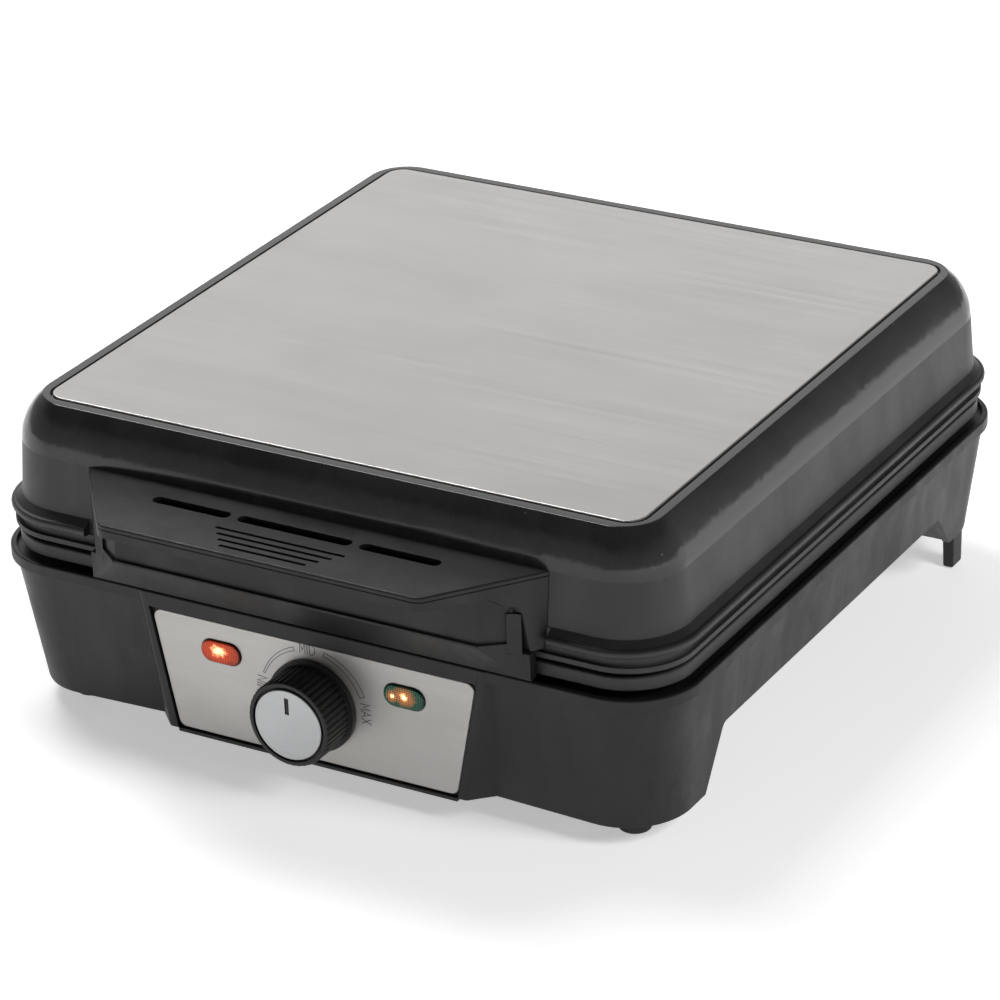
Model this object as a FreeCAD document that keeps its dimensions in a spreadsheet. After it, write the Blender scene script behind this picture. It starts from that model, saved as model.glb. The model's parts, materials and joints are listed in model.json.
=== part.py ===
import FreeCAD, Part
import Sketcher

import math
import os

# Waffle maker for four waffles: a base with legs and a control panel, and a lid hinged at the back.
# Frame: +Z up, the front faces -Y, the origin lies on the ground under the middle of the whole object.

DIMENSIONS = [
    # outline of the top trim plate, from which every other outline is offset outwards
    ("plate_width", 250.0, "trim plate, left to right"),
    ("plate_depth", 255.0, "trim plate, front to back"),
    ("plate_corner", 7.5, "trim plate corner radius in plan"),
    ("plate_sheet", 1.5, "trim plate thickness"),
    ("centre_y", 11.0, "middle of the lid and base outlines, behind the origin"),
    ("overall_height", 125.5, "ground to trim plate face"),
    # lid
    ("lid_rim_z", 80.5, "underside of the lid bead"),
    ("lid_wall_off", 15.3, "lid wall outside the trim plate outline, at the bead"),
    ("lid_draft", 2.78, "lid wall draft in degrees"),
    ("lid_corner", 24.5, "lid wall corner radius in plan"),
    ("lid_round", 22.2, "rounding from lid wall to lid top"),
    ("lid_round_z", 107.3, "height where the rounding starts"),
    ("lid_strip_drop", 0.3, "flat strip round the trim plate, below its face"),
    ("trim_gap", 1.1, "groove between trim plate and strip"),
    ("lid_skin", 2.8, "lid wall thickness"),
    ("bead_off", 19.4, "bead outside the trim plate outline"),
    ("bead_thick", 3.4, "bead height at its edge"),
    ("bead_flare", 2.3, "height of the flare from lid wall to bead"),
    # waffle plates
    ("parting_top_z", 74.2, "face of the upper waffle plate"),
    ("parting_low_z", 72.3, "face of the lower waffle plate"),
    ("upper_plate_off", 17.5, "upper waffle plate outside the trim plate outline"),
    ("upper_neck_off", 15.8, "upper waffle plate wall above its lip"),
    ("lower_plate_off", 16.5, "lower waffle plate outside the trim plate outline"),
    ("waffle_plate_corner", 25.0, "waffle plate corner radius in plan"),
    ("plate_lip", 2.4, "waffle plate flange thickness"),
    ("lower_skirt", 5.1, "depth of the lower waffle plate's skirt"),
    ("casting", 3.0, "wall thickness of the castings"),
    ("waffle_size", 116.0, "waffle cavity, both ways"),
    ("waffle_pitch", 131.0, "middle to middle of two cavities"),
    ("waffle_corner", 9.0, "cavity corner radius"),
    ("upper_cavity", 10.0, "depth of the upper cavities"),
    ("lower_cavity", 12.0, "depth of the lower cavities"),
    ("peg_pitch", 22.4, "middle to middle of two pegs"),
    ("peg_foot", 14.0, "peg width at the cavity floor"),
    ("peg_draft", 15.0, "peg side draft in degrees"),
    ("peg_drop", 2.0, "peg tips below the plate face"),
    # base
    ("lip_z", 65.3, "top of the base lip"),
    ("lip_off", 20.4, "base lip outside the trim plate outline"),
    ("lip_corner", 28.0, "base lip corner radius in plan"),
    ("lip_tall", 4.6, "height of the lip's outer face"),
    ("lip_thick", 2.2, "lip thickness"),
    ("deck_z", 63.5, "top of the deck inside the lip"),
    ("deck_thick", 2.5, "deck thickness"),
    ("deck_opening_off", 5.0, "opening in the deck outside the trim plate outline"),
    ("base_off_top", 18.4, "base wall outside the trim plate outline, under the lip"),
    ("base_draft", 6.6, "base wall draft in degrees"),
    ("base_corner", 26.0, "base wall corner radius in plan"),
    ("base_wall", 2.6, "base wall thickness"),
    ("base_bottom_z", 8.6, "lowest edge of the base wall"),
    ("arch_z", 34.5, "underside of the side arch"),
    ("arch_front_y", -82.5, "front end of the side arch at its top"),
    ("arch_slope", 9.7, "run of the arch's front slope"),
    ("arch_back_y", 102.0, "back end of the side arch at its top"),
    ("back_slope", 14.3, "run of the arch's back slope"),
    ("rear_leg_z", 17.5, "underside of the rear legs"),
    ("cover_skin", 2.4, "bottom cover thickness"),
    # control panel
    ("nose_y", -137.2, "front face of the control panel nose"),
    ("nose_top_half", 74.0, "half width of the nose at the lip"),
    ("nose_low_half", 63.6, "half width of the nose at its bottom"),
    ("nose_low_z", 9.1, "bottom of the nose"),
    ("bezel_top_half", 71.1, "half width of the bezel at the lip"),
    ("bezel_low_half", 60.0, "half width of the bezel at its bottom"),
    ("bezel_thick", 3.0, "bezel thickness"),
    ("panel_top_z", 58.6, "top edge of the panel plate"),
    ("panel_low_z", 11.1, "bottom edge of the panel plate"),
    ("panel_top_half", 69.2, "half width of the panel plate at its top"),
    ("panel_low_half", 59.8, "half width of the panel plate at its bottom"),
    ("panel_sheet", 1.0, "panel plate thickness"),
    ("panel_corner", 3.6, "panel plate corner radius"),
    ("lens_x", 39.2, "lens centre from the middle"),
    ("lens_z", 46.6, "lens centre height"),
    ("lens_width", 17.2, "lens, left to right"),
    ("lens_tall", 9.2, "lens height"),
    ("knob_z", 34.3, "knob axis height"),
    ("knob_radius", 16.9, "knob barrel radius"),
    ("knob_skirt_radius", 18.2, "knob skirt radius"),
    ("knob_long", 17.2, "knob length from the panel"),
    ("knob_cap_radius", 14.1, "knob cap radius"),
    ("shaft_radius", 3.0, "thermostat shaft radius"),
    # handle
    ("handle_top_z", 107.6, "top of the handle"),
    ("handle_sheet", 1.7, "handle top panel thickness"),
    ("handle_back_half", 97.6, "half width of the handle at the lid"),
    ("handle_front_half", 67.0, "half width of the handle at its front"),
    ("handle_front_y", -169.6, "front edge of the handle"),
    ("handle_back_y", -130.2, "back edge of the handle, at the lid wall"),
    ("handle_band_z", 102.7, "lower edge of the handle's front band"),
    ("handle_skin", 2.4, "handle wall thickness"),
    ("grip_ledge_z", 81.3, "height of the ledge under the finger recess"),
    ("grip_ledge_y", -147.9, "front of that ledge"),
    ("grip_foot_z", 66.5, "bottom of the grip block"),
    ("grip_foot_y", -138.1, "front of the grip block at its bottom"),
    # hinge
    ("hinge_y", 163.0, "hinge axis"),
    ("hinge_z", 74.6, "hinge axis height"),
    ("hinge_x", 75.0, "middle of each hinge from the middle of the lid"),
    ("knuckle_radius", 6.0, "knuckle on the lid arm"),
    ("knuckle_long", 14.0, "knuckle length"),
    ("ear_radius", 6.5, "ear on the base bracket"),
    ("ear_thick", 4.0, "ear thickness"),
    ("pin_radius", 3.0, "hinge pin radius"),
    # small parts
    ("foot_x", 118.3, "front foot from the middle"),
    ("foot_y", -110.3, "front foot"),
    ("foot_radius", 6.2, "front foot radius"),
    ("peg_x", 132.6, "rear peg from the middle"),
    ("peg_y", 133.0, "rear peg"),
    ("element_radius", 3.3, "heating element tube radius"),
    ("play", 0.25, "assembly clearance between fixed parts"),
    ("running", 0.06, "radial clearance of a turning fit"),
]


class Size:
    """A length: the expression that a feature is bound to, and its value now."""

    def __init__(self, text, value):
        self.text = text
        self.value = float(value)

    def _join(self, other, sign):
        other = as_size(other)
        value = self.value + other.value if sign == "+" else self.value - other.value
        return Size(f"({self.text} {sign} {other.text})", value)

    def __add__(self, other):
        return self._join(other, "+")

    def __radd__(self, other):
        return as_size(other)._join(self, "+")

    def __sub__(self, other):
        return self._join(other, "-")

    def __rsub__(self, other):
        return as_size(other)._join(self, "-")

    def __mul__(self, factor):
        return Size(f"({self.text} * {factor})", self.value * factor)

    def __rmul__(self, factor):
        return self * factor

    def __truediv__(self, factor):
        return Size(f"({self.text} / {factor})", self.value / factor)

    def __neg__(self):
        return Size(f"(0 - {self.text})", -self.value)


def as_size(value):
    return value if isinstance(value, Size) else Size(f"{value:g}", value)


doc = FreeCAD.newDocument("WaffleMaker")
sheet = doc.addObject("Spreadsheet::Sheet", "dims")
D = {}
for row, (alias, number, note) in enumerate(DIMENSIONS, start=1):
    sheet.set(f"A{row}", alias)
    sheet.set(f"B{row}", str(number))
    sheet.set(f"C{row}", note)
    sheet.setAlias(f"B{row}", alias)
    D[alias] = Size(f"dims.{alias}", number)
doc.recompute()

PARTS = []


# ---------------------------------------------------------------- helpers


def bind(feature, prop, size):
    """Sets a property to a length of the sheet, or to a plain number."""
    size = as_size(size)
    if "dims." in size.text:
        feature.setExpression(prop, size.text)
    else:
        setattr(feature, prop, size.value)


def body(label):
    new = doc.addObject("PartDesign::Body", label)
    new.Label = label
    new.AllowCompound = True
    PARTS.append(new)
    return new


def sketch(owner, plane, height=0.0, shift=0.0, name="Sketch"):
    """Sketch on an origin plane, moved by height along its normal and by shift up its own vertical."""
    new = owner.newObject("Sketcher::SketchObject", name)
    origin = next(f for f in owner.Origin.OriginFeatures if f.Role == plane)
    new.AttachmentSupport = (origin, [""])
    new.MapMode = "FlatFace"
    bind_offset(new, "z", height)
    bind_offset(new, "y", shift)
    return new


def bind_offset(new, letter, size):
    size = as_size(size)
    if "dims." in size.text:
        new.setExpression(f".AttachmentOffset.Base.{letter}", size.text)
    elif size.value:
        offset = new.AttachmentOffset
        setattr(offset.Base, letter, size.value)
        new.AttachmentOffset = offset


def constrain(new, kind, *where, size=None):
    """Adds a constraint, and binds it to the sheet where its size comes from there."""
    if size is None:
        new.addConstraint(Sketcher.Constraint(kind, *where))
        return
    index = new.addConstraint(Sketcher.Constraint(kind, *where, size.value))
    if "dims." in size.text:
        new.setExpression(f"Constraints[{index}]", size.text)


def point_sizes(new, edge, end, across, up):
    """Places one end of an edge by its distances from the sketch's origin."""
    for kind, size in (("DistanceX", as_size(across)), ("DistanceY", as_size(up))):
        if abs(size.value) < 1e-9:
            axis = -2 if kind == "DistanceX" else -1
            constrain(new, "PointOnObject", edge, end, axis)
        else:
            constrain(new, kind, -1, 1, edge, end, size=size)


def polygon(new, points):
    """Closed outline of straight edges through points given as sizes."""
    first = new.GeometryCount
    sizes = [(as_size(a), as_size(b)) for a, b in points]
    corners = [FreeCAD.Vector(a.value, b.value, 0) for a, b in sizes]
    for start, end in zip(corners, corners[1:] + corners[:1]):
        new.addGeometry(Part.LineSegment(start, end), False)
    count = len(corners)
    for i in range(count):
        constrain(new, "Coincident", first + i, 2, first + (i + 1) % count, 1)
    for i, (a, b) in enumerate(sizes):
        point_sizes(new, first + i, 1, a, b)
    return new


def mirrored_polygon(new, points):
    """Outline that is the same left and right: points run down its right half."""
    left = [(-as_size(a), b) for a, b in reversed(points)]
    return polygon(new, points + left)


def box_outline(new, low_x, low_y, high_x, high_y):
    return polygon(new, [(low_x, low_y), (high_x, low_y), (high_x, high_y), (low_x, high_y)])


def plan_outline(new, off):
    """The trim plate's rectangle, offset outwards."""
    half_x = D["plate_width"] / 2 + off
    half_y = D["plate_depth"] / 2 + off
    return box_outline(new, -half_x, -half_y, half_x, half_y)


def circle(new, across, up, radius):
    across, up, radius = as_size(across), as_size(up), as_size(radius)
    middle = FreeCAD.Vector(across.value, up.value, 0)
    edge = new.addGeometry(Part.Circle(middle, FreeCAD.Vector(0, 0, 1), radius.value), False)
    point_sizes(new, edge, 3, across, up)
    constrain(new, "Radius", edge, size=radius)
    return edge


def stadium(new, across, up, width, tall):
    """Slot with round ends, its long side left to right."""
    across, up, width, tall = (as_size(v) for v in (across, up, width, tall))
    radius = tall / 2
    reach = (width - tall) / 2
    left, right = across - reach, across + reach
    quarter = math.pi / 2
    arcs = []
    for middle, start in ((left, quarter), (right, -quarter)):
        ring = Part.Circle(
            FreeCAD.Vector(middle.value, up.value, 0), FreeCAD.Vector(0, 0, 1), radius.value
        )
        arcs.append(new.addGeometry(Part.ArcOfCircle(ring, start, start + math.pi), False))
    top = new.addGeometry(
        Part.LineSegment(
            FreeCAD.Vector(left.value, up.value + radius.value, 0),
            FreeCAD.Vector(right.value, up.value + radius.value, 0),
        ),
        False,
    )
    low = new.addGeometry(
        Part.LineSegment(
            FreeCAD.Vector(left.value, up.value - radius.value, 0),
            FreeCAD.Vector(right.value, up.value - radius.value, 0),
        ),
        False,
    )
    constrain(new, "Tangent", arcs[0], 1, top, 1)
    constrain(new, "Tangent", arcs[0], 2, low, 1)
    constrain(new, "Tangent", arcs[1], 2, top, 2)
    constrain(new, "Tangent", arcs[1], 1, low, 2)
    constrain(new, "Radius", arcs[0], size=radius)
    point_sizes(new, arcs[0], 3, left, up)
    point_sizes(new, arcs[1], 3, right, up)


def grow(owner, kind, profile, length, name, reverse=False, taper=0.0, middle=False):
    """Pad or Pocket of a profile. Reverse runs it against the usual way of that feature."""
    feature = owner.newObject(f"PartDesign::{kind}", name)
    feature.Profile = profile
    bind(feature, "Length", length)
    feature.Reversed = reverse
    if middle:
        feature.Midplane = True
    bind(feature, "TaperAngle", taper)
    profile.Visibility = False
    return feature


def pad(owner, profile, length, name="Pad", **more):
    return grow(owner, "Pad", profile, length, name, **more)


def pocket(owner, profile, length, name="Pocket", **more):
    """Pocket that must remove material, or the build stops."""
    doc.recompute()
    before = owner.Shape.Volume
    feature = grow(owner, "Pocket", profile, length, name, **more)
    doc.recompute()
    if not owner.Shape.Volume < before - 1e-6:
        raise RuntimeError(f"{owner.Label}: {name} cuts nothing")
    return feature


def edges_where(owner, test):
    doc.recompute()
    tip = owner.Tip
    return tip, [f"Edge{i}" for i, edge in enumerate(tip.Shape.Edges, start=1) if test(edge)]


def dress(owner, kind, test, size, name):
    """Fillet or Chamfer on the edges of the body so far that pass a test."""
    tip, names = edges_where(owner, test)
    if not names:
        raise RuntimeError(f"{owner.Label}: no edge for {name}")
    feature = owner.newObject(f"PartDesign::{kind}", name)
    feature.Base = (tip, names)
    bind(feature, "Radius" if kind == "Fillet" else "Size", size)
    doc.recompute()
    return feature


def fillet(owner, test, radius, name="Fillet"):
    return dress(owner, "Fillet", test, radius, name)


def chamfer(owner, test, size, name="Chamfer"):
    return dress(owner, "Chamfer", test, size, name)


def upright(edge, slack=0.13):
    """True for an edge that is upright, or leans by no more than the draft of a wall."""
    if len(edge.Vertexes) < 2:
        return False
    along = edge.Vertexes[1].Point - edge.Vertexes[0].Point
    return abs(along.z) > 1 and math.hypot(along.x, along.y) < 2.2 * slack * abs(along.z)


def level(edge, z, slack=0.05):
    """True for an edge that lies at one height."""
    box = edge.BoundBox
    return abs(box.ZMin - z) < slack and abs(box.ZMax - z) < slack


def outer(edge, off):
    """True for an edge that lies on or outside the trim plate outline grown by off."""
    box = edge.BoundBox
    x = max(abs(box.XMin), abs(box.XMax))
    y = max(abs(box.YMin - D["centre_y"].value), abs(box.YMax - D["centre_y"].value))
    return x > D["plate_width"].value / 2 + off or y > D["plate_depth"].value / 2 + off


def plan_block(owner, off, z, length, corner, name, taper=0.0, reverse=False):
    """Block with the plan outline grown by off, standing on height z, with round upright corners."""
    outline = sketch(owner, "XY_Plane", z, D["centre_y"], name + "_outline")
    plan_outline(outline, off)
    block = pad(owner, outline, length, name, taper=taper, reverse=reverse)
    fillet(owner, upright, corner, name + "_corners")
    return block


def plan_cut(owner, off, z, length, corner, name, upward=True, taper=0.0):
    """Pocket with the plan outline grown by off and round upright corners."""
    outline = sketch(owner, "XY_Plane", z, D["centre_y"], name + "_outline")
    round_plan(outline, off, corner)
    return pocket(owner, outline, length, name, reverse=upward, taper=taper)


def round_plan(new, off, corner):
    """Rounded rectangle: the plan outline grown by off."""
    half_x = D["plate_width"] / 2 + off
    half_y = D["plate_depth"] / 2 + off
    return round_box(new, half_x, half_y, corner)


def round_box(new, half_x, half_y, corner, across=0.0, up=0.0):
    """Rounded rectangle about a point of the sketch."""
    half_x, half_y, corner = as_size(half_x), as_size(half_y), as_size(corner)
    across, up = as_size(across), as_size(up)
    first = new.GeometryCount
    flat_x, flat_y = half_x - corner, half_y - corner
    turns = [(1, 1, 0), (-1, 1, 1), (-1, -1, 2), (1, -1, 3)]
    quarter = math.pi / 2
    for sign_x, sign_y, turn in turns:
        middle = FreeCAD.Vector(
            across.value + sign_x * flat_x.value, up.value + sign_y * flat_y.value, 0
        )
        ring = Part.Circle(middle, FreeCAD.Vector(0, 0, 1), corner.value)
        new.addGeometry(Part.ArcOfCircle(ring, turn * quarter, (turn + 1) * quarter), False)
    for i in range(4):
        start = new.getPoint(first + i, 2)
        end = new.getPoint(first + (i + 1) % 4, 1)
        new.addGeometry(Part.LineSegment(start, end), False)
    for i in range(4):
        constrain(new, "Tangent", first + i, 2, first + 4 + i, 1)
        constrain(new, "Tangent", first + 4 + i, 2, first + (i + 1) % 4, 1)
    for i in range(1, 4):
        constrain(new, "Equal", first, first + i)
    constrain(new, "Radius", first, size=corner)
    point_sizes(new, first, 3, across + flat_x, up + flat_y)
    point_sizes(new, first + 2, 3, across - flat_x, up - flat_y)
    return new


def lofted(owner, kind, profiles, name):
    feature = owner.newObject(f"PartDesign::{kind}Loft", name)
    feature.Profile = profiles[0]
    feature.Sections = profiles[1:]
    feature.Ruled = True
    for profile in profiles:
        profile.Visibility = False
    doc.recompute()
    return feature



REACH = 340.0  # longer than the object, for cuts right through it


def through_x(owner, points, name):
    """Cuts an outline, given as (y, z) points, from left to right through the whole body."""
    outline = sketch(owner, "YZ_Plane", 0.0, 0.0, name + "_outline")
    polygon(outline, points)
    return pocket(owner, outline, REACH, name, middle=True)


# ---------------------------------------------------------------- lid


def make_lid_cover():
    cover = body("lid_cover")
    crown = D["lid_round_z"] + D["lid_round"]
    rim = D["lid_rim_z"]
    strip_z = D["overall_height"] - D["lid_strip_drop"]
    plan_block(cover, D["lid_wall_off"], rim, crown - rim, D["lid_corner"], "wall", -D["lid_draft"])
    fillet(cover, lambda edge: level(edge, crown.value), D["lid_round"], "rounding")
    trim_top = sketch(cover, "XY_Plane", strip_z, D["centre_y"], "strip_outline")
    box_outline(trim_top, -REACH, -REACH, REACH, REACH)
    pocket(cover, trim_top, 2 * D["lid_round"], "strip", reverse=True)
    fillet(cover, lambda edge: level(edge, strip_z.value, 0.02), 0.9, "strip_edge")

    bead_corner = D["lid_corner"] + D["bead_off"] - D["lid_wall_off"]
    bead_top = rim + D["bead_thick"]
    bead = sketch(cover, "XY_Plane", rim, D["centre_y"], "bead_outline")
    round_plan(bead, D["bead_off"], bead_corner)
    pad(cover, bead, D["bead_thick"], "bead")
    on_bead = D["bead_off"].value - 0.2
    fillet(
        cover,
        lambda edge: outer(edge, on_bead)
        and (level(edge, rim.value) or level(edge, bead_top.value)),
        1.5,
        "bead_edges",
    )
    foot = sketch(cover, "XY_Plane", bead_top - 0.4, D["centre_y"], "flare_foot")
    round_plan(foot, D["bead_off"] - 1.3, bead_corner - 1.3)
    head = sketch(cover, "XY_Plane", bead_top + D["bead_flare"] + 0.9, D["centre_y"], "flare_head")
    round_plan(head, D["lid_wall_off"] - 1.3, D["lid_corner"] - 1.3)
    lofted(cover, "Additive", [foot, head], "bead_flare")

    plan_cut(
        cover, D["trim_gap"], D["overall_height"] - D["plate_sheet"], D["plate_sheet"] + 1,
        D["plate_corner"] + D["trim_gap"], "trim_recess",
    )
    hollow_top = D["lid_round_z"] - 1
    plan_cut(
        cover, D["lid_wall_off"] - D["lid_skin"], rim, hollow_top - rim,
        D["lid_corner"] - D["lid_skin"], "lower_hollow",
    )
    crown_hollow = D["overall_height"] - D["plate_sheet"] - D["lid_skin"] - hollow_top
    plan_cut(cover, 3.0, hollow_top - 1, crown_hollow + 1, 13.0, "upper_hollow")
    seat = SHIELD_HIGH_Z + SHIELD_TALL
    posts = sketch(cover, "XY_Plane", seat, 0.0, "shield_posts_outline")
    for sign_x in (-1, 1):
        for sign_y in (-1, 1):
            circle(posts, 60.0 * sign_x, D["centre_y"] + 60 * sign_y, 4.0)
    pad(cover, posts, hollow_top + crown_hollow + 0.5 - seat, "shield_posts")

    # the bead stops at the ends of the handle and at the two hinge arms
    wall_y = D["plate_depth"] / 2 + D["lid_wall_off"]
    front = D["centre_y"] - wall_y - 0.03
    back = D["centre_y"] + wall_y + 0.03
    bead_room = D["bead_thick"] + D["bead_flare"] + 1.2
    gap = sketch(cover, "XY_Plane", rim - 1, 0.0, "handle_gap_outline")
    box_outline(gap, -(D["handle_back_half"] + 0.3), front - 20, D["handle_back_half"] + 0.3, front)
    pocket(cover, gap, bead_room, "handle_gap", reverse=True)
    gap = sketch(cover, "XY_Plane", rim - 1, 0.0, "hinge_gap_outline")
    half = D["knuckle_long"] / 2 + 0.8
    for side in (-1, 1):
        middle = D["hinge_x"] * side
        box_outline(gap, middle - half, back, middle + half, back + 20)
    pocket(cover, gap, bead_room, "hinge_gap", reverse=True)


def make_trim_plate():
    trim = body("lid_trim_plate")
    low = D["overall_height"] - D["plate_sheet"]
    plan_block(trim, 0.0, low, D["plate_sheet"], D["plate_corner"], "sheet")
    fillet(trim, lambda edge: level(edge, D["overall_height"].value), 0.5, "edge")


def four_boxes(outline, half, corner):
    """One rounded square at the middle of each waffle."""
    for sign_x in (-1, 1):
        for sign_y in (-1, 1):
            across = D["waffle_pitch"] * (sign_x / 2)
            up = D["waffle_pitch"] * (sign_y / 2)
            round_box(outline, half, half, corner, across, up)


def peg_grid(plate, peg, outline):
    """Repeats one peg over five rows of five in each of the four waffles."""
    grid = plate.newObject("PartDesign::MultiTransform", "peg_grid")
    grid.Originals = [peg]
    grid.Shape = peg.Shape
    runs = [("H_Axis", D["peg_pitch"] * 4, 5), ("H_Axis", D["waffle_pitch"], 2)]
    runs += [("V_Axis", D["peg_pitch"] * 4, 5), ("V_Axis", D["waffle_pitch"], 2)]
    steps = []
    for axis, length, count in runs:
        step = plate.newObject("PartDesign::LinearPattern", "step")
        step.Direction = (outline, [axis])
        bind(step, "Length", length)
        step.Occurrences = count
        steps.append(step)
    grid.Transformations = steps
    plate.Tip = grid
    doc.recompute()


def make_waffle_plate(label, face_z, up, off, cavity):
    """Cast plate with four pegged cavities. Up is True where the cavities go up from its face."""
    plate = body(label)
    side = 1 if up else -1
    corner = D["waffle_plate_corner"]
    flange = sketch(plate, "XY_Plane", face_z, D["centre_y"], "flange_outline")
    round_plan(flange, off, corner)
    pad(plate, flange, D["plate_lip"], "flange", reverse=not up)
    if up:
        wall_off, wall_end = D["upper_neck_off"], D["lid_rim_z"]
    else:
        wall_off, wall_end = off, face_z - D["lower_skirt"]
    wall_start = face_z + side * D["plate_lip"]
    wall_tall = (wall_end - wall_start) if up else (wall_start - wall_end)
    wall = sketch(plate, "XY_Plane", wall_start, D["centre_y"], "wall_outline")
    round_plan(wall, wall_off, corner - (off - wall_off))
    round_plan(wall, wall_off - D["casting"], corner - (off - wall_off) - D["casting"])
    pad(plate, wall, wall_tall, "wall", reverse=not up)
    tub = sketch(plate, "XY_Plane", face_z, D["centre_y"], "tub_outline")
    four_boxes(tub, D["waffle_size"] / 2 + D["casting"], D["waffle_corner"] + D["casting"])
    pad(plate, tub, cavity + D["casting"], "tubs", reverse=not up)
    hollow = sketch(plate, "XY_Plane", face_z, D["centre_y"], "cavity_outline")
    four_boxes(hollow, D["waffle_size"] / 2, D["waffle_corner"])
    pocket(plate, hollow, cavity, "cavities", reverse=up, taper=-8.0)
    floor_z = face_z + side * cavity
    foot = sketch(plate, "XY_Plane", floor_z, D["centre_y"], "peg_outline")
    half = D["peg_foot"] / 2
    first = -D["waffle_pitch"] / 2 - 2 * D["peg_pitch"]
    box_outline(foot, first - half, first - half, first + half, first + half)
    peg = pad(plate, foot, cavity - D["peg_drop"], "peg", reverse=up, taper=-D["peg_draft"])
    doc.recompute()
    peg_grid(plate, peg, foot)
    edges = lambda edge: level(edge, face_z.value, 0.02) and outer(edge, off.value - 0.2)
    fillet(plate, edges, 0.8, "rim_edge")


def make_element(label, z):
    """Tubular element: one open loop that passes over the middle of each waffle."""
    element = body(label)
    reach = D["waffle_pitch"] / 2
    end = Size("14", 14)
    back = D["centre_y"] + reach + 38
    front = D["centre_y"] - reach - 12
    turn = 22.0
    path = sketch(element, "XY_Plane", z, 0.0, "path")
    corners = [(-end, back), (-reach, back), (-reach, front), (reach, front), (reach, back), (end, back)]
    open_loop(path, corners, turn)
    section = sketch(element, "YZ_Plane", -end, 0.0, "section")
    circle(section, back, z, D["element_radius"])
    doc.recompute()
    pipe = element.newObject("PartDesign::AdditivePipe", "tube")
    pipe.Profile = section
    pipe.Spine = (path, [f"Edge{i}" for i in range(1, path.GeometryCount + 1)])
    path.Visibility = False
    section.Visibility = False
    doc.recompute()


def open_loop(new, corners, turn):
    """Open path of level and upright runs joined by tangent arcs of one radius."""
    radius = as_size(turn)
    spots = [FreeCAD.Vector(a.value, b.value, 0) for a, b in corners]
    edges = []
    for i in range(1, len(spots) - 1):
        before = (spots[i - 1] - spots[i]).normalize() * radius.value
        after = (spots[i + 1] - spots[i]).normalize() * radius.value
        middle = spots[i] + before + after
        start, end = spots[i] + before, spots[i] + after
        knee = middle + (spots[i] - middle).normalize() * radius.value
        run_from = spots[0] if i == 1 else edges[-1].EndPoint
        edges.append(Part.LineSegment(run_from, start))
        edges.append(Part.Arc(start, knee, end))
    edges.append(Part.LineSegment(edges[-1].EndPoint, spots[-1]))
    for edge in edges:
        new.addGeometry(edge, False)
    for i in range(0, len(edges) - 1):
        first_end = 2 if same_point(new.getPoint(i, 2), new.getPoint(i + 1, 1), new.getPoint(i + 1, 2)) else 1
        join_tangent(new, i, i + 1, first_end)
    for i in range(1, len(edges), 2):
        constrain(new, "Radius", i, size=radius)
    for i in range(0, len(edges), 2):
        start, end = new.getPoint(i, 1), new.getPoint(i, 2)
        constrain(new, "Horizontal" if abs(start.y - end.y) < 1e-6 else "Vertical", i)
    a, b = corners[0]
    point_sizes(new, 0, 1, a, b)
    a, b = corners[-1]
    point_sizes(new, len(edges) - 1, 2, a, b)
    constrain(new, "DistanceX", -1, 1, 2, 1, size=as_size(corners[2][0]))
    constrain(new, "DistanceY", -1, 1, 4, 1, size=as_size(corners[2][1]))
    constrain(new, "DistanceX", -1, 1, 6, 1, size=as_size(corners[3][0]))


def same_point(spot, *others):
    return any((spot - other).Length < 1e-6 for other in others)


def join_tangent(new, one, two, one_end):
    spot = new.getPoint(one, one_end)
    two_end = 1 if same_point(spot, new.getPoint(two, 1)) else 2
    constrain(new, "Tangent", one, one_end, two, two_end)


def make_clamps(label, z, up):
    """Four straps that hold the element to its waffle plate."""
    straps = body(label)
    side = 1 if up else -1
    radius = D["element_radius"]
    sheet_thick = 1.2
    seat = z - side * radius
    outline = sketch(straps, "XZ_Plane", 0.0, 0.0, "strap_outline")
    gap = 0.15
    inner = radius + gap
    outside = inner + sheet_thick
    top = z + side * inner
    for sign in (-1, 1):
        middle = D["waffle_pitch"] * (sign / 2)
        points = [
            (middle - outside - 6, seat),
            (middle - inner, seat),
            (middle - inner, top),
            (middle + inner, top),
            (middle + inner, seat),
            (middle + outside + 6, seat),
            (middle + outside + 6, seat + side * sheet_thick),
            (middle + outside, seat + side * sheet_thick),
            (middle + outside, top + side * sheet_thick),
            (middle - outside, top + side * sheet_thick),
            (middle - outside, seat + side * sheet_thick),
            (middle - outside - 6, seat + side * sheet_thick),
        ]
        polygon(outline, points)
    bind_offset(outline, "z", -(D["centre_y"] - D["waffle_pitch"] / 2 + 30))
    strap = pad(straps, outline, 10.0, "straps")
    doc.recompute()
    copies = straps.newObject("PartDesign::LinearPattern", "front_and_back")
    copies.Originals = [strap]
    copies.Direction = (outline, ["N_Axis"])
    copies.Reversed = True
    bind(copies, "Length", D["waffle_pitch"] - 60 + 30)
    copies.Occurrences = 2
    straps.Tip = copies
    doc.recompute()


SHIELD_LOW_Z = 45.5
SHIELD_HIGH_Z = 95.5
SHIELD_TALL = 6.0


def make_heat_shield(label, z, up, off):
    """Shallow sheet tray, open towards the element."""
    tray = body(label)
    plan_block(tray, off, z, SHIELD_TALL, 16.0, "tray")
    skin = 0.8
    if up:
        plan_cut(tray, off - skin, z, SHIELD_TALL - skin, 16.0 - skin, "inside")
    else:
        plan_cut(tray, off - skin, z + skin, SHIELD_TALL, 16.0 - skin, "inside")


# ---------------------------------------------------------------- handle


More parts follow.
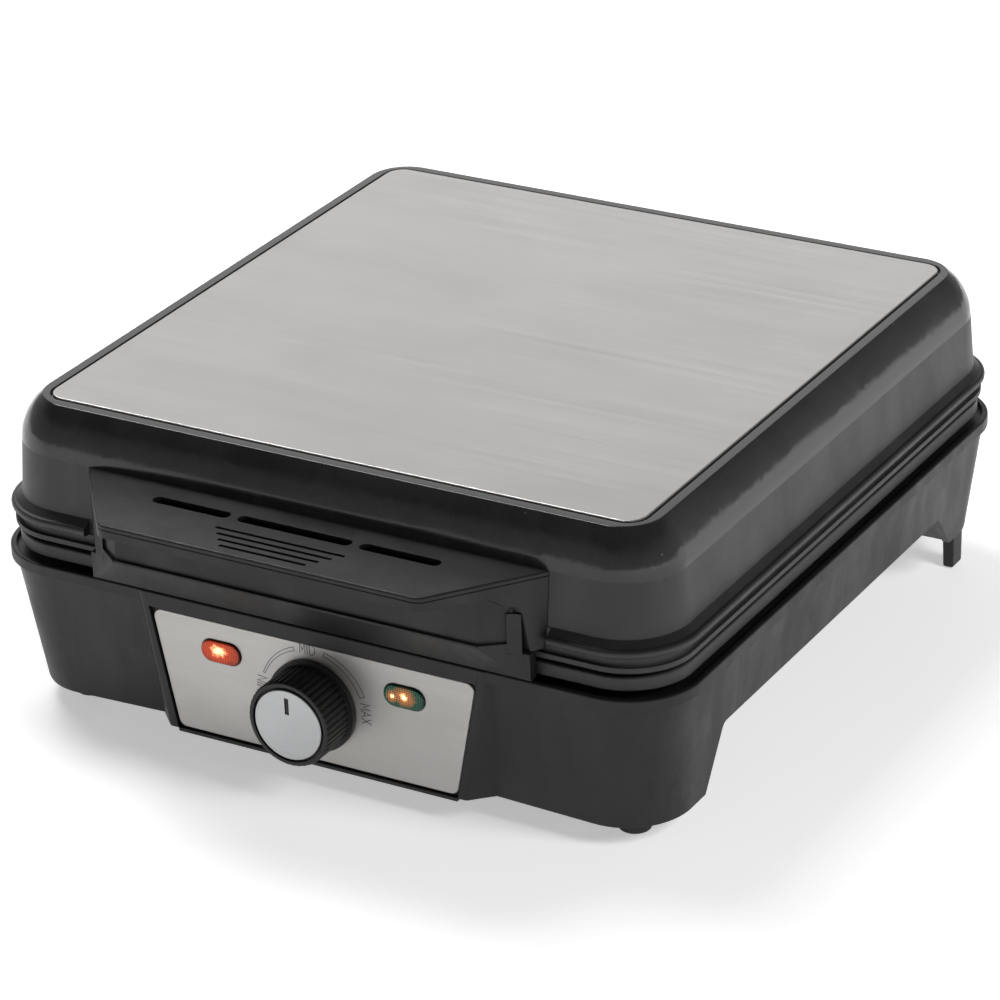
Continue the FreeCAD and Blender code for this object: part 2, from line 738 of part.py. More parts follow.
def handle_plan(outline, y_back, inset=0.0):
    """Plan of the handle: wide at the lid, narrower at its front."""
    run = D["handle_back_y"].value - D["handle_front_y"].value
    lean = (D["handle_back_half"].value - D["handle_front_half"].value) / run
    across = inset * math.hypot(1, lean)
    front = D["handle_front_y"] + inset
    front_half = D["handle_front_half"] + lean * inset - across
    back_half = D["handle_back_half"] + lean * (y_back.value - D["handle_back_y"].value) - across
    return mirrored_polygon(outline, [(back_half, y_back), (front_half, front)])


def handle_corner(edge):
    """The two upright edges at the front of the handle."""
    box = edge.BoundBox
    return upright(edge) and box.YMax < D["handle_front_y"].value + 6


def make_handle_top():
    top = body("handle_top_panel")
    low = D["handle_top_z"] - D["handle_sheet"]
    outline = sketch(top, "XY_Plane", low, 0.0, "plan")
    handle_plan(outline, D["handle_back_y"] - 0.4)
    pad(top, outline, D["handle_sheet"], "sheet")
    fillet(top, handle_corner, 6.0, "corners")
    slots = sketch(top, "XY_Plane", low, 0.0, "slots_outline")
    slot_y = Size("-142.6", -142.6)
    slot_wide = 5.0
    for middle, long in ((-43.9, 33.0), (0.0, 47.6), (43.9, 33.0)):
        stadium(slots, middle, slot_y, long, slot_wide)
    pocket(top, slots, D["handle_sheet"], "slots", reverse=True)
    grooves = sketch(top, "XY_Plane", D["handle_top_z"], 0.0, "grooves_outline")
    for count in range(4):
        y = -152.5 - 3.95 * count
        half = 27.0 - 3.0 * count
        box_outline(grooves, -half, y - 0.75, half, y + 0.75)
    pocket(top, grooves, 0.9, "grooves")
    rim = lambda edge: level(edge, D["handle_top_z"].value, 0.02) and not slot_edge(edge)
    fillet(top, rim, 0.8, "rim_edge")


def slot_edge(edge):
    """True for the edges of the slots, the grooves and the back of the top panel."""
    box = edge.BoundBox
    inside = box.YMin > -166 and max(abs(box.XMin), abs(box.XMax)) < 66
    return inside or box.YMin > -131.5


def gusset_curve():
    """Front edge of the handle's side gussets, from the band down to the lid bead."""
    return [
        (-149.0, D["handle_band_z"] - 1.0),
        (-143.6, D["handle_band_z"] - 5.6),
        (-140.6, D["handle_band_z"] - 6.6),
        (-139.0, D["handle_band_z"] - 9.4),
        (-136.9, D["grip_ledge_z"] - 3.7),
    ]


def lid_wall_wedge(owner, low, name):
    """Cuts the back of a handle piece to the leaning wall of the lid."""
    lean = math.tan(math.radians(D["lid_draft"].value))
    edge_y = D["centre_y"] - D["plate_depth"] / 2
    wall = edge_y - D["lid_wall_off"] - 0.05
    neck = edge_y - D["upper_neck_off"] - 0.2
    rim = D["lid_rim_z"] + 0.1
    bead_end = D["lid_rim_z"] + D["bead_thick"] + D["bead_flare"] + 0.3
    tall = D["handle_top_z"].value - D["lid_rim_z"].value
    at_bead = bead_end.value - D["lid_rim_z"].value
    points = [
        (neck, low),
        (neck, rim),
        (wall - 0.08, rim),
        (wall - 0.08, bead_end),
        (wall + lean * at_bead, bead_end),
        (wall + lean * tall, D["handle_top_z"]),
        (wall + 20, D["handle_top_z"]),
        (wall + 20, low),
    ]
    through_x(owner, points, name)


def make_handle_frame():
    frame = body("handle_frame")
    low = D["grip_ledge_z"] - 3.7
    top = D["handle_top_z"] - D["handle_sheet"]
    outline = sketch(frame, "XY_Plane", low, 0.0, "plan")
    handle_plan(outline, D["handle_back_y"] + 2)
    pad(frame, outline, top - low, "walls")
    fillet(frame, handle_corner, 6.0, "corners")
    inside = sketch(frame, "XY_Plane", low - 1, 0.0, "inside_plan")
    handle_plan(inside, D["handle_back_y"] + 6, D["handle_skin"].value)
    pocket(frame, inside, top - low + 2, "inside", reverse=True)
    curve = gusset_curve()
    under = [(-190.0, D["handle_band_z"] + 0.3)] + curve + [(-136.9, low - 2), (-190.0, low - 2)]
    through_x(frame, under, "finger_side")
    lid_wall_wedge(frame, low - 2, "wall_fit")
    rim = lambda edge: level(edge, top.value, 0.02) and frame_rim(edge)
    chamfer(frame, rim, 0.45, "seam")


def frame_rim(edge):
    """True for the outer edges of the handle frame's top."""
    middle = edge.valueAt((edge.FirstParameter + edge.LastParameter) / 2)
    run = D["handle_back_y"].value - D["handle_front_y"].value
    lean = (D["handle_back_half"].value - D["handle_front_half"].value) / run
    side = D["handle_front_half"].value + lean * (middle.y - D["handle_front_y"].value)
    return middle.y < -132 and (middle.y < D["handle_front_y"].value + 1.9 or abs(middle.x) > side - 1.2)


def make_grip_block():
    grip = body("handle_grip_block")
    foot, ledge = D["grip_foot_z"], D["grip_ledge_z"]
    top = D["handle_top_z"] - D["handle_sheet"] - 0.15
    low_back = -134.45
    wide, bend_x, front_x = 93.0, 87.3, 77.3
    face_x, face_y = 88.0, -139.9
    outline = sketch(grip, "XY_Plane", foot, 0.0, "foot_plan")
    mirrored_polygon(
        outline, [(wide, low_back), (wide, -138.6), (face_x, face_y), (front_x, D["grip_ledge_y"])]
    )
    pad(grip, outline, ledge - foot, "foot_block")
    recess_y = D["grip_ledge_y"] + 1.3
    outline = sketch(grip, "XY_Plane", ledge - 0.5, 0.0, "wall_plan")
    mirrored_polygon(outline, [(86.0, -130.0), (86.0, -140.0), (front_x - 0.8, recess_y)])
    pad(grip, outline, top - ledge + 0.5, "recess_wall")
    slope = [
        (D["grip_foot_y"], foot - 1),
        (D["grip_foot_y"], foot),
        (D["grip_ledge_y"] - 0.1, ledge - 0.9),
        (-170.0, ledge - 0.9),
        (-170.0, foot - 1),
    ]
    through_x(grip, slope, "undercut")
    bracket_top = D["handle_band_z"] - 6.9
    for side in (-1, 1):
        plate = sketch(grip, "YZ_Plane", side * (wide + bend_x - 1.2) / 2, 0.0, "bracket_outline")
        polygon(
            plate,
            [
                (low_back, foot),
                (D["grip_foot_y"], foot),
                (-140.3, bracket_top - 2.4),
                (-139.4, bracket_top),
                (low_back, bracket_top),
            ],
        )
        pad(grip, plate, wide - bend_x + 1.2, "end_bracket", middle=True)
    run = D["handle_back_y"].value - D["handle_front_y"].value
    lean = (D["handle_back_half"].value - D["handle_front_half"].value) / run
    wall = (D["handle_skin"].value + 0.2) * math.hypot(1, lean)
    room = sketch(grip, "XY_Plane", 77.3, 0.0, "gusset_room_plan")
    for side in (-1, 1):
        near, far = -145.0, -128.0
        points = []
        for y in (near, far):
            points.append((D["handle_front_half"].value + lean * (y - D["handle_front_y"].value) - wall, y))
        points += [(110.0, far), (110.0, near)]
        polygon(room, [(side * x, y) for x, y in points])
    pocket(grip, room, 30.0, "gusset_room", reverse=True)
    face = sketch(grip, "XY_Plane", 77.0, 0.0, "end_face_plan")
    for side in (-1, 1):
        plan = [(85.5, -139.3), (90.5, -139.3), (90.0, -139.6), (face_x, face_y), (85.5, -141.6)]
        polygon(face, [(side * x, y) for x, y in plan])
    pad(grip, face, 16.0, "end_faces")
    well = sketch(grip, "XY_Plane", top, 0.0, "well_plan")
    box_outline(well, -72.0, recess_y + 1.2, 72.0, -134.3)
    pocket(grip, well, 14.0, "well")
    lid_wall_wedge(grip, D["grip_foot_z"] + 11, "wall_fit")
    edges = lambda edge: level(edge, ledge.value) and edge.BoundBox.YMax < D["grip_ledge_y"].value + 0.2
    fillet(grip, edges, 0.4, "ledge_edge")


# ---------------------------------------------------------------- hinge


def make_hinge_arm(side, word):
    arm = body(f"lid_hinge_arm_{word}")
    y, z = D["hinge_y"], D["hinge_z"]
    start = D["hinge_x"] * side - D["knuckle_long"] / 2
    barrel = sketch(arm, "YZ_Plane", start, 0.0, "barrel_outline")
    circle(barrel, y, z, D["knuckle_radius"])
    pad(arm, barrel, D["knuckle_long"], "barrel")
    web = sketch(arm, "YZ_Plane", start, 0.0, "web_outline")
    polygon(
        web,
        [
            (y - 9.10, z + 9.6),
            (y - 9.10, z + 11.9),
            (y - 9.42, z + 11.9),
            (y - 10.20, z + 27.4),
            (y - 6.4, z + 27.4),
            (y - 4.6, z + 15.4),
            (y + 5.0, z + 3.0),
            (y, z),
            (y - 5.6, z + 1.7),
        ],
    )
    pad(arm, web, D["knuckle_long"], "web")
    bore = sketch(arm, "YZ_Plane", start - 1, 0.0, "bore_outline")
    circle(bore, y, z, D["pin_radius"] + D["running"])
    pocket(arm, bore, D["knuckle_long"] + 2, "bore", reverse=True)
    seats = sketch(arm, "XZ_Plane", -(y - 6.37), 0.0, "screw_seat_outline")
    for sign in (-1, 1):
        circle(seats, D["hinge_x"] * side + 4.2 * sign, z + 23.2, 2.35)
    pocket(arm, seats, 4.0, "screw_seats")


def make_hinge_bracket(side, word):
    bracket = body(f"hinge_bracket_{word}")
    y, z = D["hinge_y"], D["hinge_z"]
    middle = D["hinge_x"] * side
    seat = D["lip_z"]
    base_thick = 2.4
    low, high = y - 5.6, y + D["ear_radius"]
    plate = sketch(bracket, "XY_Plane", seat, 0.0, "foot_plan")
    box_outline(plate, middle - 18, low, middle + 18, high)
    pad(bracket, plate, base_thick, "foot_plate")
    fillet(bracket, upright, 3.0, "foot_corners")
    inner = D["knuckle_long"] / 2 + 0.5
    for name, start in (("left", middle - inner - D["ear_thick"]), ("right", middle + inner)):
        ear = sketch(bracket, "YZ_Plane", start, 0.0, f"ear_{name}_outline")
        circle(ear, y, z, D["ear_radius"])
        pad(bracket, ear, D["ear_thick"], f"ear_{name}")
        neck = sketch(bracket, "YZ_Plane", start, 0.0, f"neck_{name}_outline")
        box_outline(neck, low + 0.2, seat + 0.5, high, z)
        pad(bracket, neck, D["ear_thick"], f"neck_{name}")
    bore = sketch(bracket, "YZ_Plane", middle - 20, 0.0, "bore_outline")
    circle(bore, y, z, D["pin_radius"] + 0.03)
    pocket(bracket, bore, 40.0, "bore", reverse=True)
    holes = sketch(bracket, "XY_Plane", seat, 0.0, "screw_holes")
    for sign in (-1, 1):
        circle(holes, middle + 15 * sign, y + 0.5, 1.7)
    pocket(bracket, holes, base_thick, "screw_bores", reverse=True)


def make_hinge_pins():
    pins = body("hinge_pins")
    reach = D["knuckle_long"] / 2 + 0.5 + D["ear_thick"]
    shafts = sketch(pins, "YZ_Plane", D["hinge_x"] - reach - 1, 0.0, "shaft_outline")
    circle(shafts, D["hinge_y"], D["hinge_z"], D["pin_radius"])
    shaft = pad(pins, shafts, reach * 2 + 1.2, "shaft")
    heads = sketch(pins, "YZ_Plane", D["hinge_x"] + reach + 0.1, 0.0, "head_outline")
    circle(heads, D["hinge_y"], D["hinge_z"], D["pin_radius"] + 1.5)
    head = pad(pins, heads, 1.6, "head")
    doc.recompute()
    copies = pins.newObject("PartDesign::Mirrored", "other_side")
    copies.Originals = [shaft, head]
    middle = next(f for f in pins.Origin.OriginFeatures if f.Role == "YZ_Plane")
    copies.MirrorPlane = (middle, [""])
    pins.Tip = copies
    doc.recompute()


# ---------------------------------------------------------------- base


def arch_line(rise=0.0):
    """Underside of the base seen from the side, front to back, raised by a distance."""
    slope_front = D["arch_front_y"] - D["arch_slope"]
    return [
        (slope_front, D["base_bottom_z"] - 1.1 + rise),
        (D["arch_front_y"], D["arch_z"] + rise),
        (D["arch_back_y"], D["arch_z"] + rise),
        (D["arch_back_y"] + D["back_slope"], D["rear_leg_z"] + rise),
    ]


def nose_plan(outline, half, y_front, y_back):
    """Plan of the nose: its sides spread back at 45 degrees."""
    spread = y_back - y_front
    return mirrored_polygon(outline, [(half, y_front), (half + spread, y_back)])


def nose_face(outline, top_half, low_half, top, low):
    """Front outline of the nose or its fittings, narrower towards the ground."""
    return mirrored_polygon(outline, [(top_half, top), (low_half, low)])


def screw_places():
    """Places of the cover screws as (x, y, height of the cover's upper face)."""
    mid = D["arch_z"] + 1.5 + D["cover_skin"]
    front = D["base_bottom_z"] + 3.9 + D["cover_skin"]
    rear = D["rear_leg_z"] + 1.5 + D["cover_skin"]
    spots = []
    for side in (-1, 1):
        spots += [(134.3 * side, -50.0, mid), (134.3 * side, 70.0, mid)]
        spots += [(100.0 * side, -122.6, front), (100.0 * side, 145.4, rear)]
    return spots


def make_base_housing():
    base = body("base_housing")
    lip_low = D["lip_z"] - D["lip_tall"]
    wall_tall = lip_low - D["base_bottom_z"]
    plan_block(
        base, D["base_off_top"], lip_low, wall_tall, D["base_corner"], "wall",
        -D["base_draft"], reverse=True,
    )
    top = sketch(base, "XY_Plane", D["nose_low_z"], 0.0, "nose_low")
    nose_plan(top, D["nose_low_half"], D["nose_y"], D["nose_y"] + 16)
    low = sketch(base, "XY_Plane", D["lip_z"], 0.0, "nose_top")
    nose_plan(low, D["nose_top_half"], D["nose_y"], D["nose_y"] + 16)
    lofted(base, "Additive", [top, low], "nose")
    fillet(base, nose_side, 2.5, "nose_edges")
    lip = sketch(base, "XY_Plane", lip_low, D["centre_y"], "lip_outline")
    round_plan(lip, D["lip_off"], D["lip_corner"])
    pad(base, lip, D["lip_tall"], "lip")
    fillet(base, lip_edge, 0.8, "lip_edges")
    deck_low = D["deck_z"] - D["deck_thick"]
    inside = D["base_off_top"] - D["base_wall"]
    hollow = sketch(base, "XY_Plane", deck_low, D["centre_y"], "hollow_outline")
    round_plan(hollow, inside, D["base_corner"] - D["base_wall"])
    pocket(base, hollow, deck_low - D["base_bottom_z"] + 1, "hollow", taper=-D["base_draft"])
    recess_off = D["lip_off"] - D["lip_thick"]
    plan_cut(
        base, recess_off, D["deck_z"], D["lip_z"] - D["deck_z"] + 1,
        D["lip_corner"] - D["lip_thick"], "deck_recess",
    )
    plan_cut(base, D["deck_opening_off"], deck_low - 1, D["deck_thick"] + 2, 15.0, "deck_opening")

    opening = sketch(base, "XZ_Plane", -D["nose_y"], 0.0, "bezel_recess_outline")
    fit, above, below = 0.05, 1.0, 2.0
    narrowing = D["bezel_top_half"].value - D["bezel_low_half"].value
    lean = narrowing / (D["lip_z"].value - D["nose_low_z"].value)
    top_half = D["bezel_top_half"] + (fit + lean * above)
    low_half = D["bezel_low_half"] + (fit - lean * below)
    nose_face(opening, top_half, low_half, D["lip_z"] + above, D["nose_low_z"] - below)
    pocket(base, opening, D["bezel_thick"] + 0.1, "bezel_recess")
    room = sketch(base, "XZ_Plane", -(D["nose_y"] + 22), 0.0, "nose_room_outline")
    nose_face(room, 66.0, 58.0, deck_low, D["nose_low_z"] + 3)
    pocket(base, room, 16.9, "nose_room", reverse=True)

    arch = arch_line()
    arch += [(220.0, D["rear_leg_z"]), (220.0, -5.0), (D["arch_front_y"] - D["arch_slope"], -5.0)]
    through_x(base, arch, "leg_arch")
    fillet(base, arch_corner, 3.5, "arch_corners")
    scoop = sketch(base, "XZ_Plane", 90.0, 0.0, "front_arch_outline")
    mirrored_polygon(scoop, [(68.0, 10.4), (122.0, D["base_bottom_z"]), (122.0, 0.0)])
    pocket(base, scoop, 60.0, "front_arch", reverse=True)

    for x, y, z in screw_places():
        boss = sketch(base, "XY_Plane", z + 0.05, 0.0, "boss_outline")
        circle(boss, x, y, 4.0)
        pad(base, boss, deck_low - z + 0.5, "boss")
        hole = sketch(base, "XY_Plane", z, 0.0, "boss_hole_outline")
        circle(hole, x, y, 1.4)
        pocket(base, hole, 12.0, "boss_hole", reverse=True)

    front_wall = sketch(base, "XZ_Plane", -(D["nose_y"] + 2), 0.0, "panel_holes_outline")
    circle(front_wall, 0.0, D["knob_z"], 4.2)
    for side in (-1, 1):
        stadium(front_wall, side * D["lens_x"], D["lens_z"], 14.6, 6.6)
    pocket(base, front_wall, 8.0, "panel_holes")
    seat = sketch(base, "XZ_Plane", -GLAND_SEAT_Y, 0.0, "gland_seat_outline")
    circle(seat, 0.0, GLAND_Z, 9.4)
    pocket(base, seat, 6.0, "gland_seat")
    hole = sketch(base, "XZ_Plane", -(GLAND_SEAT_Y - 8), 0.0, "gland_hole_outline")
    circle(hole, 0.0, GLAND_Z, 6.2)
    pocket(base, hole, 10.0, "gland_hole")


GLAND_Z = 40.5
GLAND_SEAT_Y = 153.8


def make_hinge_mount(side, word):
    """Block on the back wall of the base, under its lip, that carries a hinge bracket."""
    mount = body(f"hinge_mount_{word}")
    lip_low = D["lip_z"] - D["lip_tall"]
    lip_y = D["centre_y"] + D["plate_depth"] / 2 + D["lip_off"] + 0.05
    wall_y = D["centre_y"] + D["plate_depth"] / 2 + D["base_off_top"] + 0.05
    drop = 17.0
    lean = drop * math.tan(math.radians(D["base_draft"].value))
    back = D["hinge_y"] + D["ear_radius"] + 0.1
    outline = sketch(mount, "YZ_Plane", side * D["hinge_x"] - 18, 0.0, "outline")
    polygon(
        outline,
        [
            (lip_y, D["lip_z"]),
            (back, D["lip_z"]),
            (back, D["lip_z"] - 5),
            (wall_y - lean, lip_low - drop),
            (wall_y, lip_low - 0.05),
            (lip_y, lip_low - 0.05),
        ],
    )
    pad(mount, outline, 36.0, "block")
    fillet(mount, lambda edge: upright(edge) and edge.BoundBox.YMin > back.value - 0.1, 1.5, "corners")
    holes = sketch(mount, "XY_Plane", D["lip_z"], 0.0, "screw_holes_outline")
    for sign in (-1, 1):
        circle(holes, D["hinge_x"] * side + 15 * sign, D["hinge_y"] + 0.5, 1.4)
    pocket(mount, holes, 9.0, "screw_holes")


def arch_corner(edge):
    """True for the edges across the side walls at the corners of the leg arches."""
    box = edge.BoundBox
    if box.YMax - box.YMin > 0.01 or box.ZMax - box.ZMin > 0.01 or box.XMax - box.XMin > 4:
        return False
    corners = [(D["arch_front_y"].value, D["arch_z"].value), (D["arch_back_y"].value, D["arch_z"].value)]
    corners.append((D["arch_back_y"].value + D["back_slope"].value, D["rear_leg_z"].value))
    return any(abs(box.YMin - y) < 0.01 and abs(box.ZMin - z) < 0.01 for y, z in corners)


def nose_side(edge):
    """True for the two upright edges at the front of the nose."""
    box = edge.BoundBox
    return box.ZMax - box.ZMin > 30 and box.YMax < D["nose_y"].value + 0.5


def lip_edge(edge):
    """True for the edges around the top of the lip and the front of the nose."""
    box = edge.BoundBox
    return level(edge, D["lip_z"].value) and outer(edge, D["lip_off"].value - 0.3) and box.YMax < 170


def make_bottom_cover():
    cover = body("base_bottom_cover")
    lip_low = D["lip_z"] - D["lip_tall"]
    inside = D["base_off_top"] - D["base_wall"] - D["play"] - 0.1
    plan_block(
        cover, inside, lip_low, lip_low - D["base_bottom_z"], D["base_corner"] - D["base_wall"],
        "block", -D["base_draft"], reverse=True,
    )
    for rise, end_z, name in ((0.0, 0.0, "below"), (D["cover_skin"].value, 70.0, "above")):
        line = cover_line(rise)
        ends = [(220.0, line[-1][1]), (220.0, end_z), (-200.0, end_z)]
        through_x(cover, [(-200.0, line[0][1])] + line + ends, name)
    top = D["arch_z"] + 1.5 + D["cover_skin"]
    posts = sketch(cover, "XY_Plane", top - 1, 0.0, "shield_posts_outline")
    for sign_x in (-1, 1):
        for sign_y in (-1, 1):
            circle(posts, 70.0 * sign_x, D["centre_y"] + 62 * sign_y, 4.0)
    pad(cover, posts, SHIELD_LOW_Z - top + 1, "shield_posts")
    for x, y, z in screw_places():
        hole = sketch(cover, "XY_Plane", z + 1, 0.0, "screw_hole_outline")
        circle(hole, x, y, 1.7)
        pocket(cover, hole, 5.0, "screw_hole")
    stems = sketch(cover, "XY_Plane", D["base_bottom_z"] + 8, 0.0, "foot_holes_outline")
    for side in (-1, 1):
        circle(stems, D["foot_x"] * side, D["foot_y"], 2.55)
    pocket(cover, stems, 6.0, "foot_holes")
    vents = sketch(cover, "XY_Plane", top + 1, 0.0, "vents_outline")
    for row in range(9):
        y = -36.0 + 12.0 * row
        for sign in (-1, 1):
            stadium(vents, 30.0 * sign, y, 40.0, 4.0)
    pocket(cover, vents, D["cover_skin"] + 2, "vents")


def cover_line(rise):
    """Underside of the bottom cover seen from the side, front to back, raised by a distance."""
    low = D["base_bottom_z"] + 3.9 + rise
    mid = D["arch_z"] + 1.5 + rise
    rear = D["rear_leg_z"] + 1.5 + rise
    lean_front = (D["arch_z"].value - D["base_bottom_z"].value) / D["arch_slope"].value
    lean_back = (D["arch_z"].value - D["rear_leg_z"].value) / D["back_slope"].value
    front_shift = rise * (math.hypot(1, lean_front) - 1) / lean_front
    back_shift = rise * (math.hypot(1, lean_back) - 1) / lean_back
    start = D["arch_front_y"] - D["arch_slope"] + 1.0
    stop = D["arch_back_y"] + D["back_slope"] - 1.0
    return [
        (start - front_shift, low),
        (D["arch_front_y"] - front_shift + 0.5, mid),
        (D["arch_back_y"] + back_shift, mid),
        (stop + back_shift, rear),
    ]


def make_cover_screws():
    screws = body("base_cover_screws")
    for x, y, z in screw_places():
        under = z - D["cover_skin"] - 1.7
        head = sketch(screws, "XY_Plane", under, 0.0, "head_outline")
        circle(head, x, y, 2.9)
        pad(screws, head, 1.65, "head")
        shank = sketch(screws, "XY_Plane", under + 1, 0.0, "shank_outline")
        circle(shank, x, y, 1.36)
        pad(screws, shank, 10.0, "shank")
        slot = sketch(screws, "XY_Plane", under, 0.0, "slot_outline")
        box_outline(slot, x - 2.2, y - 0.35, x + 2.2, y + 0.35)
        box = sketch(screws, "XY_Plane", under, 0.0, "cross_outline")
        box_outline(box, x - 0.35, y - 2.2, x + 0.35, y + 2.2)
        pocket(screws, slot, 0.8, "slot", reverse=True)
        pocket(screws, box, 0.8, "cross", reverse=True)


def make_standoffs():
    posts = body("plate_standoffs")
    low_edge = D["lower_plate_off"] - 1.6
    outline = sketch(posts, "XY_Plane", D["deck_z"], D["centre_y"], "outline")
    top = D["parting_low_z"] - D["lower_skirt"]
    for sign_x in (-1, 1):
        for sign_y in (-1, 1):
            circle(outline, 52.0 * sign_x, sign_y * (D["plate_depth"] / 2 + low_edge), 2.6)
    pad(posts, outline, top - D["deck_z"], "posts")


# ---------------------------------------------------------------- control panel


def make_bezel():
    bezel = body("panel_bezel")
    front = -D["nose_y"]
    thick = D["bezel_thick"]
    outline = sketch(bezel, "XZ_Plane", front - thick, 0.0, "outline")
    nose_face(outline, D["bezel_top_half"], D["bezel_low_half"], D["lip_z"], D["nose_low_z"])
    pad(bezel, outline, thick, "frame")
    crest = lambda edge: level(edge, D["lip_z"].value) and edge.BoundBox.YMax < D["nose_y"].value + 0.1
    fillet(bezel, crest, 0.8, "top_edge")
    seat = sketch(bezel, "XZ_Plane", front, 0.0, "panel_seat_outline")
    grow_by = D["play"] + 0.35
    top, low = D["panel_top_z"] + grow_by, D["panel_low_z"] - grow_by
    nose_face(seat, D["bezel_top_half"] + 5, D["bezel_low_half"] + 5, top, low)
    pocket(bezel, seat, 1.7, "panel_seat")
    holes = sketch(bezel, "XZ_Plane", front, 0.0, "holes_outline")
    circle(holes, 0.0, D["knob_z"], 4.2)
    for side in (-1, 1):
        stadium(holes, side * D["lens_x"], D["lens_z"], D["lens_width"] - 1.2, D["lens_tall"] - 1.2)
    pocket(bezel, holes, 6.0, "holes")


def make_panel():
    panel = body("control_panel")
    back = -D["nose_y"] - 1.7
    outline = sketch(panel, "XZ_Plane", back, 0.0, "outline")
    nose_face(
        outline, D["panel_top_half"], D["panel_low_half"], D["panel_top_z"], D["panel_low_z"]
    )
    pad(panel, outline, D["panel_sheet"], "sheet")
    fillet(panel, panel_corner, D["panel_corner"], "corners")
    front = -back - D["panel_sheet"]
    rim = lambda edge: edge.BoundBox.YMax < front.value + 0.05
    chamfer(panel, rim, 0.35, "rim")
    holes = sketch(panel, "XZ_Plane", back + 3, 0.0, "holes_outline")
    circle(holes, 0.0, D["knob_z"], 4.2)
    for side in (-1, 1):
        stadium(holes, side * D["lens_x"], D["lens_z"], D["lens_width"] + 0.3, D["lens_tall"] + 0.3)
    pocket(panel, holes, 6.0, "holes")


def panel_corner(edge):
    """True for the four short edges at the corners of the panel sheet."""
    box = edge.BoundBox
    return box.YMax - box.YMin > 0.9 and box.XMax - box.XMin < 0.1 and abs(box.XMax) > 50


def make_lens(side, label):
    """Clear lamp cover: an oval that stands a little proud of the panel, and a stem behind it."""
    lens = body(label)
    back = -D["nose_y"] - 1.65
    face = sketch(lens, "XZ_Plane", back, 0.0, "face_outline")
    stadium(face, side * D["lens_x"], D["lens_z"], D["lens_width"], D["lens_tall"])
    pad(lens, face, 2.0, "face")
    front = -back - 2.0
    fillet(lens, lambda edge: edge.BoundBox.YMax < front.value + 0.05, 0.9, "dome")
    stem = sketch(lens, "XZ_Plane", back, 0.0, "stem_outline")
    stadium(stem, side * D["lens_x"], D["lens_z"], 14.0, 6.0)
    pad(lens, stem, 5.0, "stem", reverse=True)


def make_lamps():
    lamps = body("indicator_lamps")
    start = -(D["nose_y"] + 6.75)
    for side in (-1, 1):
        holder = sketch(lamps, "XZ_Plane", start, 0.0, "holder_outline")
        box_outline(
            holder, side * D["lens_x"] - 9, D["lens_z"] - 5, side * D["lens_x"] + 9, D["lens_z"] + 5
        )
        pad(lamps, holder, 3.0, "holder", reverse=True)
        bulb = sketch(lamps, "XZ_Plane", start - 2, 0.0, "bulb_outline")
        circle(bulb, side * D["lens_x"], D["lens_z"], 2.6)
        pad(lamps, bulb, 12.0, "bulb", reverse=True)


def make_thermostat():
    block = body("thermostat_body")
    start = -(D["nose_y"] + 8)
    outline = sketch(block, "XZ_Plane", start, D["knob_z"], "outline")
    box_outline(outline, -13.0, -10.5, 13.0, 9.5)
    pad(block, outline, 15.0, "block", reverse=True)
    fillet(block, lambda edge: upright(edge), 1.5, "corners")
    bore = sketch(block, "XZ_Plane", start, D["knob_z"], "bore_outline")
    circle(bore, 0.0, 0.0, D["shaft_radius"] + D["running"])
    pocket(block, bore, 8.0, "bore")
    tabs = sketch(block, "XZ_Plane", start - 15, D["knob_z"], "tabs_outline")
    for x in (-8.0, -2.7, 2.7, 8.0):
        box_outline(tabs, x - 0.4, -8.0, x + 0.4, -2.0)
    pad(block, tabs, 8.0, "tabs", reverse=True)

    bracket = body("thermostat_bracket")
    start = -(D["nose_y"] + 5.15)
    outline = sketch(bracket, "XZ_Plane", start, D["knob_z"], "outline")
    box_outline(outline, -22.0, -9.0, 22.0, 9.0)
    circle(outline, 0.0, 0.0, 4.2)
    for side in (-1, 1):
        circle(outline, 18.0 * side, 0.0, 1.7)
    pad(bracket, outline, 1.2, "plate", reverse=True)
    sides = sketch(bracket, "XZ_Plane", start - 1, D["knob_z"], "sides_outline")
    for side in (-1, 1):
        box_outline(sides, side * 14.6 - 1.4, -9.0, side * 14.6 + 1.4, 9.0)
    pad(bracket, sides, 8.0, "sides", reverse=True)


def make_gland():
    gland = body("cord_gland")
    seat = sketch(gland, "XZ_Plane", -(GLAND_SEAT_Y + 0.05), GLAND_Z, "flange_outline")
    circle(seat, 0.0, 0.0, 9.0)
    pad(gland, seat, 2.4, "flange", reverse=True)
    neck = sketch(gland, "XZ_Plane", -(GLAND_SEAT_Y + 0.5), GLAND_Z, "neck_outline")
    circle(neck, 0.0, 0.0, 5.9)
    pad(gland, neck, 7.0, "neck")
    out = sketch(gland, "XZ_Plane", -(GLAND_SEAT_Y + 1), GLAND_Z, "collar_outline")
    circle(out, 0.0, 0.0, 6.6)
    pad(gland, out, 5.0, "collar", reverse=True)
    bore = sketch(gland, "XZ_Plane", -(GLAND_SEAT_Y - 10), GLAND_Z, "bore_outline")
    circle(bore, 0.0, 0.0, 3.6)
    pocket(gland, bore, 20.0, "bore")
    end_y = GLAND_SEAT_Y + 6
    fillet(gland, lambda edge: edge.BoundBox.YMin > end_y - 0.02, 0.9, "mouth")

    block = body("terminal_block")
    top = D["arch_z"] + 1.5 + D["cover_skin"] + 0.02
    outline = sketch(block, "XY_Plane", top, 0.0, "outline")
    box_outline(outline, 22.0, 84.0, 50.0, 99.0)
    pad(block, outline, 5.5, "block")
    ways = sketch(block, "XZ_Plane", -84.0, 0.0, "ways_outline")
    for count in range(3):
        circle(ways, 27.0 + 9.0 * count, top + 2.8, 1.6)
    pocket(block, ways, 15.0, "ways")


# ---------------------------------------------------------------- knob


